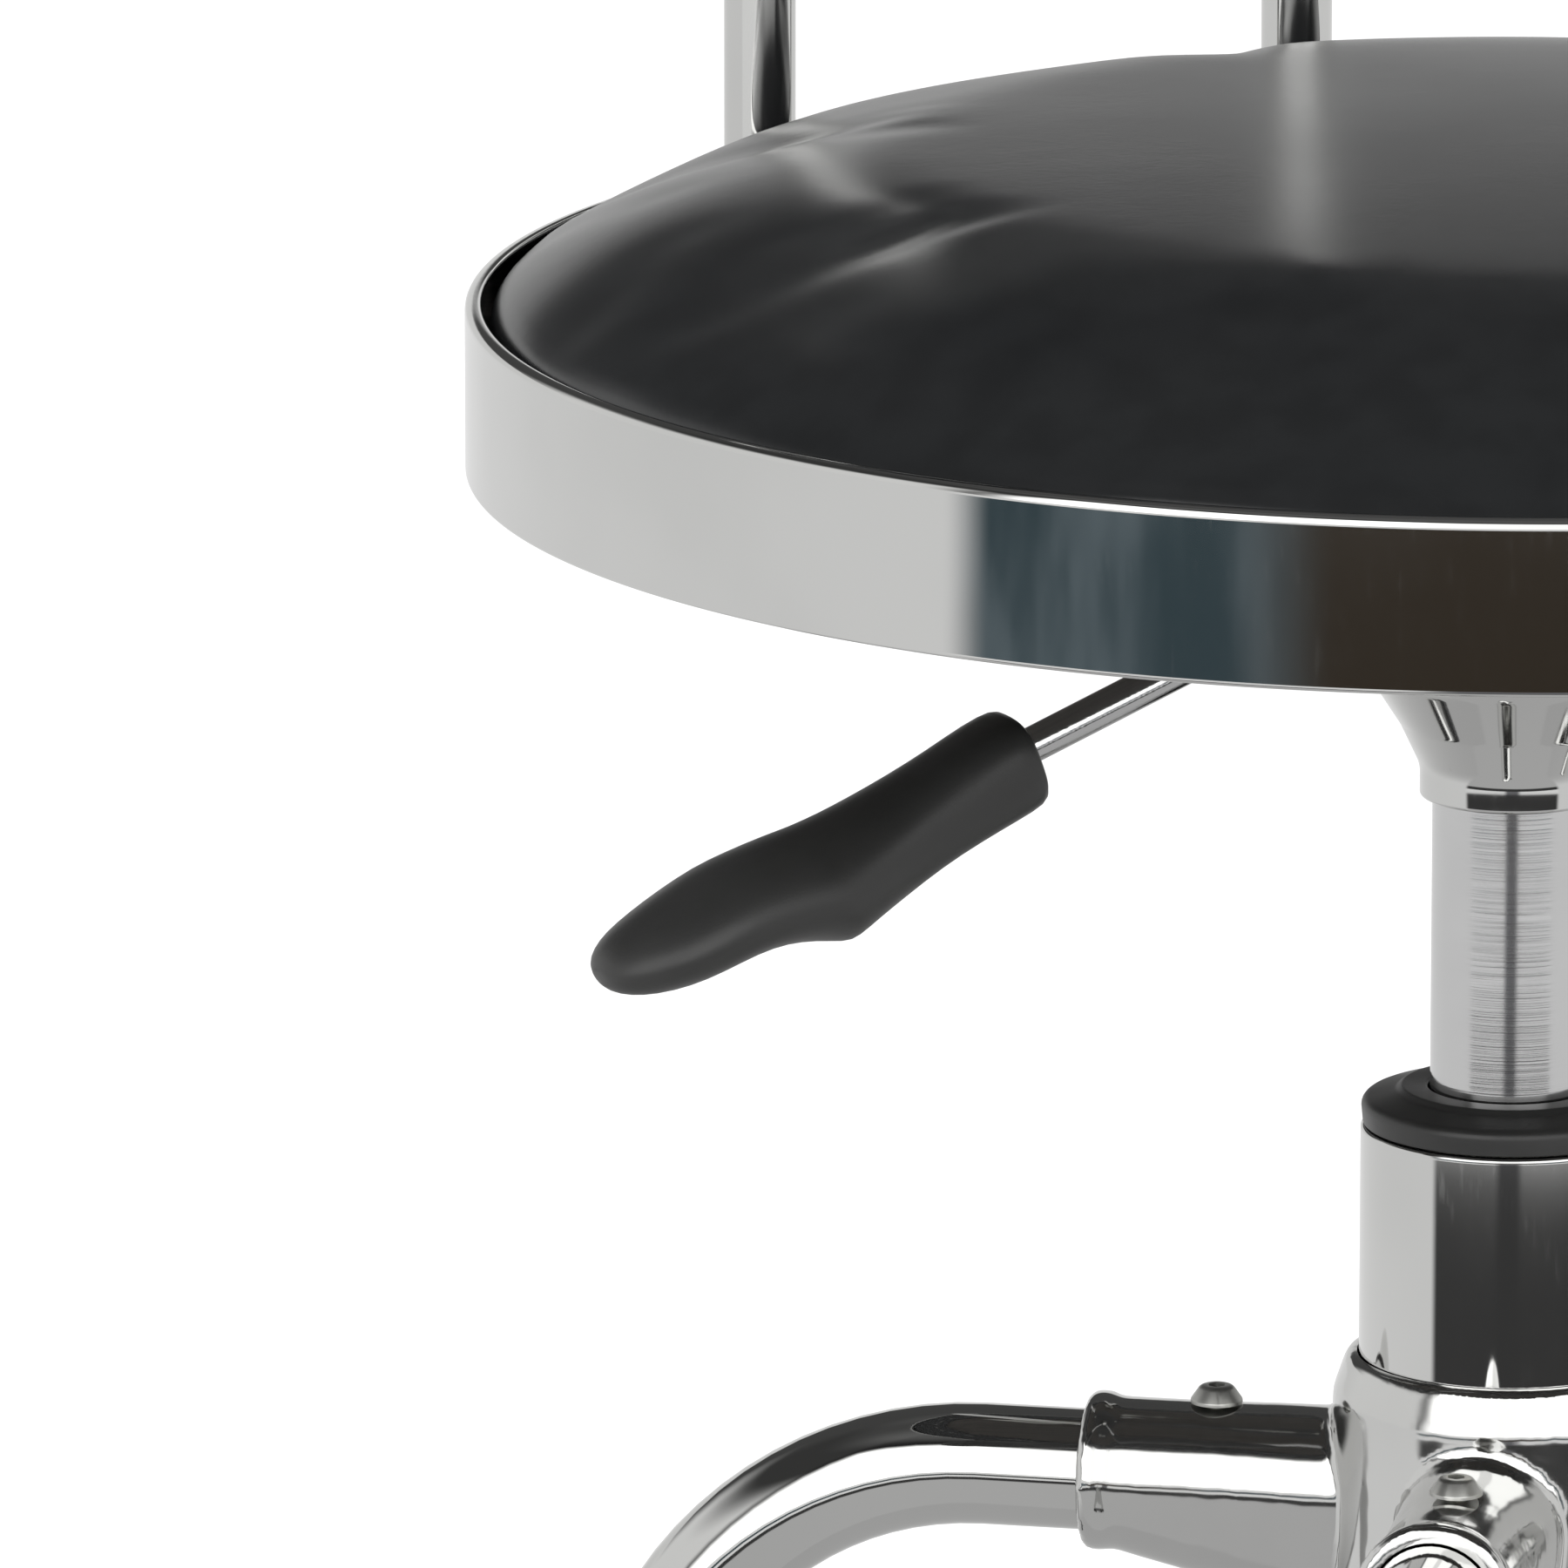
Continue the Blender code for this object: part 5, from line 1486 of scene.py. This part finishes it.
def make_backrest():
    """Shell, pad filled as cloth, and the chrome band round the pad."""
    back = settings("back")
    centre_z = middle("back_shell").z
    rear = high("back_shell").y
    shell_front = rear - 0.010
    pad_rear = shell_front - FACE_GAP
    pad_front = pad_rear - 0.030

    def loop_at(inset, y):
        return [Vector((x, y - curve_back(x), centre_z + z)) for x, z in back_outline(inset)]

    def rows_inwards(start, y):
        shares = (0.25, 0.5, 0.75, 0.97)
        return [(start + (back.corner * 0.94 - start) * s, y) for s in shares]

    rim = 0.0025
    shell_rows = [*reversed(rows_inwards(rim, rear)), (rim, rear)]
    shell_rows += [(rim * 0.3, rear - rim * 0.3), (0.0, rear - rim)]
    shell_rows += [(0.0, shell_front + 0.0006), (0.0006, shell_front), *rows_inwards(0.0006, shell_front)]
    shell = piece_from("back_shell_moulding", ribbed(loop_at, shell_rows), finish("black_plastic"))
    fit(shell, "seat", "black_plastic", "back_shell")

    edge = 0.0018
    soft, side_y = 0.0125, pad_rear - 0.012
    pad_rows = [*reversed(rows_inwards(edge, pad_rear)), (edge, pad_rear), (edge, side_y)]
    for k in range(1, 7):
        turn = math.pi / 2 * k / 6
        pad_rows.append((edge + soft * (1 - math.cos(turn)), side_y - 0.015 * math.sin(turn)))
    pad_rows.append((edge + soft + 0.006, pad_front + 0.0025))
    pad_rows += rows_inwards(edge + soft + 0.008, pad_front + 0.002)
    pad = piece_from("back_pad_cover", ribbed(loop_at, pad_rows), finish("black_vinyl"), sharp=180)
    remeshed(pad, 0.005)
    smoothed(pad, 4)
    held = [v.index for v in pad.data.vertices if v.co.y + curve_back(v.co.x) > pad_rear - 0.009]
    inflate(pad, held, back.swell)
    smoothed(pad, 2)
    for vertex in pad.data.vertices:
        flat_y = vertex.co.y + curve_back(vertex.co.x)
        if flat_y > pad_rear - 0.0002:
            vertex.co.y -= flat_y - (pad_rear - 0.0002)
    subdivided(pad)
    resharpen(pad, 180)
    pad.data.materials.clear()
    pad.data.materials.append(finish("black_vinyl"))
    fit(pad, "seat", "black_vinyl", "back_pad")

    wall = 0.0012
    band_front = pad_rear - 0.0126
    lip, lip_rear = wall * 1.7, band_front + wall
    cross = rounded(
        [
            (0, pad_rear, 0),
            (0, band_front, wall * 0.9),
            (lip, band_front, wall * 0.4),
            (lip, lip_rear, wall * 0.3),
            (wall, lip_rear, 0),
            (wall, pad_rear, 0),
        ],
        3,
    )
    sections = list(zip(*[loop_at(inset, y) for inset, y in cross]))
    band = piece_from("back_band", skin(sections, through=True), finish("polished_chrome"))
    fit(band, "seat", "chrome", "back_trim_band")


def ribbed(loop_at, rows):
    """Loops joined in a row; the first and last are filled with triangles."""
    shape = bmesh.new()
    loops = [[shape.verts.new(point) for point in loop_at(inset, y)] for inset, y in rows]
    for first, second in zip(loops, loops[1:]):
        join_loops(shape, first, second)
    for loop in (loops[0], loops[-1]):
        edges = [shape.edges.get((loop[i - 1], loop[i])) for i in range(len(loop))]
        bmesh.ops.triangle_fill(shape, use_beauty=True, use_dissolve=False, edges=edges)
    return shape


# ---- Studio ----

VIEW_TURN = math.radians(-28.5)
TO_CAMERA = Vector((math.sin(VIEW_TURN), -math.cos(VIEW_TURN), 0))
RIGHT = Vector((math.cos(VIEW_TURN), math.sin(VIEW_TURN), 0))


def seen_only_in_gloss(card):
    card.visible_camera = card.visible_diffuse = card.visible_transmission = False
    card.visible_volume_scatter = card.visible_shadow = False


def studio_angles(tree, vector):
    """The unsigned angle round from the camera's side, in degrees, of a position."""
    towards, sideways = [
        wire(tree, "ShaderNodeVectorMath", {0: vector, 1: way}, output="Value", operation="DOT_PRODUCT")
        for way in (TO_CAMERA, RIGHT)
    ]
    return calc(tree, "DEGREES", calc(tree, "ABSOLUTE", calc(tree, "ARCTAN2", sideways, towards)))


def glow(name):
    material = bpy.data.materials.new(name)
    material.use_nodes = True
    tree = material.node_tree
    tree.nodes.clear()
    shader = tree.nodes.new("ShaderNodeEmission")
    out = tree.nodes.new("ShaderNodeOutputMaterial")
    tree.links.new(shader.outputs[0], out.inputs[0])
    return material, tree, shader


def room_walls():
    """The room that polished pieces reflect: softboxes in front, pale sides and back, a dark ceiling."""
    material, tree, shader = glow("room_walls")
    where = position(tree)
    unit = wire(tree, "ShaderNodeVectorMath", {0: where}, operation="NORMALIZE")
    rise = wire(tree, "ShaderNodeSeparateXYZ", {0: unit}, output=2)
    lift = calc(tree, "DEGREES", calc(tree, "ARCSINE", rise))
    around = studio_angles(tree, unit)
    box_rise = product(tree, ramp(tree, lift, -5.0, -3.0), ramp(tree, lift, 44.0, 50.0, 1.0, 0.0))
    box_side = product(
        tree, ramp(tree, around, 7.0, 12.0, 0.7, 1.0), ramp(tree, around, 50.0, 60.0, 1.0, 0.0)
    )
    front = product(tree, box_rise, box_side, settings("studio").softbox)
    sides = product(tree, ramp(tree, lift, 24.0, 40.0, 0.85, 0.03), ramp(tree, around, 56.0, 66.0))
    is_back = ramp(tree, around, 120.0, 145.0)
    back = product(tree, ramp(tree, lift, 14.3, 17.3, 0.75, 0.05), is_back)
    sides = product(tree, sides, calc(tree, "SUBTRACT", 1.0, is_back))
    overhead = product(
        tree, ramp(tree, lift, 50.0, 62.0, 0.0, 0.10), ramp(tree, around, 60.0, 110.0, 1.0, 0.25)
    )
    join_shader(tree, shader, strength=total(tree, front, back, sides, overhead, 0.02))
    shader.inputs["Color"].default_value = (1.0, 1.0, 0.995, 1.0)
    return material


def room_floor():
    """The floor that polished pieces reflect: pale, with a painted shadow of the stool close to it, and dark
    bands across the front.
    """
    material, tree, shader = glow("room_floor")
    where = position(tree)
    reach = wire(tree, "ShaderNodeVectorMath", {0: where}, output="Value", operation="LENGTH")
    around = studio_angles(tree, where)
    in_front = ramp(tree, around, 56.0, 62.0, 1.0, 0.0)
    blotches = ramp(tree, noise(tree, where, 1.6, 4.0, 0.6), 0.42, 0.62)
    blue = blend_colour(tree, blotches, (0.045, 0.07, 0.082, 1), (0.13, 0.165, 0.185, 1))
    brown, grey = (0.045, 0.036, 0.027, 1), (0.05, 0.05, 0.05, 1)
    white, lit = (0.95, 0.95, 0.95, 1), (0.55, 0.55, 0.55, 1)
    # Painted shadow of the stool: the reflected floor is darker close to it and paler further out.
    stool_shadow_near = ramp(tree, reach, 0.15, 0.9, 0.5, 0.84)
    pale = wire(tree, "ShaderNodeCombineColor", {0: stool_shadow_near, 1: stool_shadow_near, 2: stool_shadow_near})
    # Bands of the floor in front, one beyond the other.
    runway = blend_colour(tree, ramp(tree, around, 5.0, 12.0), (0.18, 0.18, 0.19, 1), white)
    dark = blend_colour(tree, ramp(tree, around, 18.0, 30.0), brown, blue)
    front = blend_colour(tree, ramp(tree, reach, 0.9, 1.02), lit, grey)
    front = blend_colour(tree, ramp(tree, reach, 1.345, 1.39), front, runway)
    front = blend_colour(tree, ramp(tree, reach, 1.78, 1.95), front, dark)
    front = blend_colour(tree, ramp(tree, reach, 2.55, 2.75), front, white)
    join_shader(tree, shader, color=blend_colour(tree, in_front, pale, front))
    return material


def make_stage():
    """Floor, light, the room that shows in polished surfaces, and the camera."""
    studio = settings("studio")
    scene = bpy.context.scene
    scene.view_settings.view_transform = "Standard"
    world = bpy.data.worlds.new("studio_light")
    world.use_nodes = True
    background = world.node_tree.nodes["Background"]
    background.inputs["Color"].default_value = (1, 1, 1, 1)
    background.inputs["Strength"].default_value = studio.daylight
    scene.world = world

    pale, tree, shader = new_finish("studio_floor", 0.0, roughness=0.9)
    mottle = noise(tree, position(tree), 3.0)
    tint = blend_colour(tree, mottle, (0.90, 0.90, 0.90, 1), (0.915, 0.915, 0.915, 1))
    join_shader(tree, shader, base_color=tint)
    wide = 60.0
    corners = ((-wide, -wide), (wide, -wide), (wide, wide), (-wide, wide))
    floor_shape = bmesh.new()
    floor_shape.faces.new([floor_shape.verts.new((x, y, 0)) for x, y in corners])
    floor = piece_from("studio_floor", floor_shape, pale)
    floor.visible_glossy = False

    centre_z = 0.4
    room_radius = 6.0
    walls = bmesh.new()
    bmesh.ops.create_uvsphere(walls, u_segments=64, v_segments=32, radius=room_radius)
    dome = piece_from("room_walls", walls, room_walls())
    card = bmesh.new()
    below = Matrix.Translation((0, 0, -0.004))
    bmesh.ops.create_circle(card, cap_ends=True, segments=96, radius=room_radius * 0.99, matrix=below)
    patch = piece_from("room_floor", card, room_floor())
    for shown_in_gloss in (dome, patch):
        seen_only_in_gloss(shown_in_gloss)

    light = bpy.data.lights.new("key_light", "AREA")
    light.shape = "DISK"
    light.size = 2.2
    light.energy = 26.0
    key = bpy.data.objects.new("key_light", light)
    key.location = TO_CAMERA * 1.2 - RIGHT * 1.4 + UP * 2.6
    key.rotation_euler = (UP * centre_z - key.location).to_track_quat("-Z", "Y").to_euler()
    key.visible_glossy = False
    scene.collection.objects.link(key)

    lens = bpy.data.cameras.new("camera")
    lens.lens = studio.lens
    lens.sensor_width = 36
    lens.clip_start, lens.clip_end = 0.1, 200
    camera = bpy.data.objects.new("camera", lens)
    seat_top = high("seat_trim_band").z
    camera.location = TO_CAMERA * 2.888 + UP * (seat_top + 0.5863)
    tilt, pan = 0.2284, 0.0429
    level = -TO_CAMERA * math.cos(pan) - RIGHT * math.sin(pan)
    forward = level * math.cos(tilt) - UP * math.sin(tilt)
    camera.rotation_euler = forward.to_track_quat("-Z", "Y").to_euler()
    scene.collection.objects.link(camera)
    scene.camera = camera


# ---- Operators ----


class StoolOperator:
    bl_options = {"REGISTER", "UNDO"}
    makers = ()

    def execute(self, context):
        for maker in self.makers:
            maker()
        return {"FINISHED"}


class STOOL_OT_stage(StoolOperator, bpy.types.Operator):
    """Set up the floor, the light and the camera"""

    bl_idname = "stool.stage"
    bl_label = "Stage"
    makers = (make_stage,)


class STOOL_OT_cushion(StoolOperator, bpy.types.Operator):
    """Make the seat's cushion"""

    bl_idname = "stool.cushion"
    bl_label = "Seat cushion"
    makers = (make_cushion,)


class STOOL_OT_band(StoolOperator, bpy.types.Operator):
    """Make the chrome band round the seat"""

    bl_idname = "stool.band"
    bl_label = "Seat band"
    makers = (make_band,)


class STOOL_OT_underside(StoolOperator, bpy.types.Operator):
    """Make the board's finish, the hem, its staples and the pressed plate"""

    bl_idname = "stool.underside"
    bl_label = "Seat underside"
    makers = (make_underside,)


class STOOL_OT_post_socket(StoolOperator, bpy.types.Operator):
    """Make the socket that holds the gas cylinder, and the lever's pin"""

    bl_idname = "stool.post_socket"
    bl_label = "Post socket"
    makers = (make_post_socket,)


class STOOL_OT_lever(StoolOperator, bpy.types.Operator):
    """Make the height lever's rod and handle"""

    bl_idname = "stool.lever"
    bl_label = "Height lever"
    makers = (make_lever,)


class STOOL_OT_gas_lift(StoolOperator, bpy.types.Operator):
    """Make the gas cylinder, its button and the parts inside the column"""

    bl_idname = "stool.gas_lift"
    bl_label = "Gas lift"
    makers = (make_gas_lift,)


class STOOL_OT_column(StoolOperator, bpy.types.Operator):
    """Make the column tube and its cap"""

    bl_idname = "stool.column"
    bl_label = "Column"
    makers = (make_column,)


class STOOL_OT_hub(StoolOperator, bpy.types.Operator):
    """Make the cast hub with its leg sockets"""

    bl_idname = "stool.hub"
    bl_label = "Hub"
    makers = (make_hub,)


class STOOL_OT_legs(StoolOperator, bpy.types.Operator):
    """Make the bent leg tubes and their cuffs"""

    bl_idname = "stool.legs"
    bl_label = "Legs"
    makers = (make_legs,)


class STOOL_OT_casters(StoolOperator, bpy.types.Operator):
    """Make the twin-wheel casters"""

    bl_idname = "stool.casters"
    bl_label = "Casters"
    makers = (make_casters,)


class STOOL_OT_rods(StoolOperator, bpy.types.Operator):
    """Make the backrest's rods and their clamps"""

    bl_idname = "stool.rods"
    bl_label = "Back rods"
    makers = (make_rods,)


class STOOL_OT_backrest(StoolOperator, bpy.types.Operator):
    """Make the backrest's shell, pad and band"""

    bl_idname = "stool.backrest"
    bl_label = "Backrest"
    makers = (make_backrest,)


class STOOL_OT_fixings(StoolOperator, bpy.types.Operator):
    """Make all the screws"""

    bl_idname = "stool.fixings"
    bl_label = "Screws"
    makers = (make_fixings,)


OPERATORS = (
    STOOL_OT_stage,
    STOOL_OT_cushion,
    STOOL_OT_band,
    STOOL_OT_underside,
    STOOL_OT_post_socket,
    STOOL_OT_lever,
    STOOL_OT_gas_lift,
    STOOL_OT_column,
    STOOL_OT_hub,
    STOOL_OT_legs,
    STOOL_OT_casters,
    STOOL_OT_rods,
    STOOL_OT_backrest,
    STOOL_OT_fixings,
)

GROUPS = {
    "seat": SeatSettings,
    "back": BackSettings,
    "lift": LiftSettings,
    "base": BaseSettings,
    "finish": FinishSettings,
    "studio": StudioSettings,
}


class STOOL_PT_panel(bpy.types.Panel):
    """The stool's settings and the operators that make its pieces"""

    bl_idname = "STOOL_PT_panel"
    bl_label = "Swivel Stool"
    bl_space_type = "VIEW_3D"
    bl_region_type = "UI"
    bl_category = "Stool"

    def draw(self, context):
        for part, group in GROUPS.items():
            box = self.layout.box()
            box.label(text=part.title())
            for field in group.__annotations__:
                box.prop(getattr(context.scene, f"stool_{part}"), field)
        for operator in OPERATORS:
            self.layout.operator(operator.bl_idname)


def register():
    for part, group in GROUPS.items():
        bpy.utils.register_class(group)
        setattr(bpy.types.Scene, f"stool_{part}", bpy.props.PointerProperty(type=group))
    for made in (*OPERATORS, STOOL_PT_panel):
        bpy.utils.register_class(made)


def unregister():
    for made in reversed((*OPERATORS, STOOL_PT_panel)):
        bpy.utils.unregister_class(made)
    for part, group in GROUPS.items():
        delattr(bpy.types.Scene, f"stool_{part}")
        bpy.utils.unregister_class(group)


def main():
    register()
    for operator in OPERATORS:
        space, name = operator.bl_idname.split(".")
        getattr(getattr(bpy.ops, space), name)()


if __name__ == "__main__":
    main()
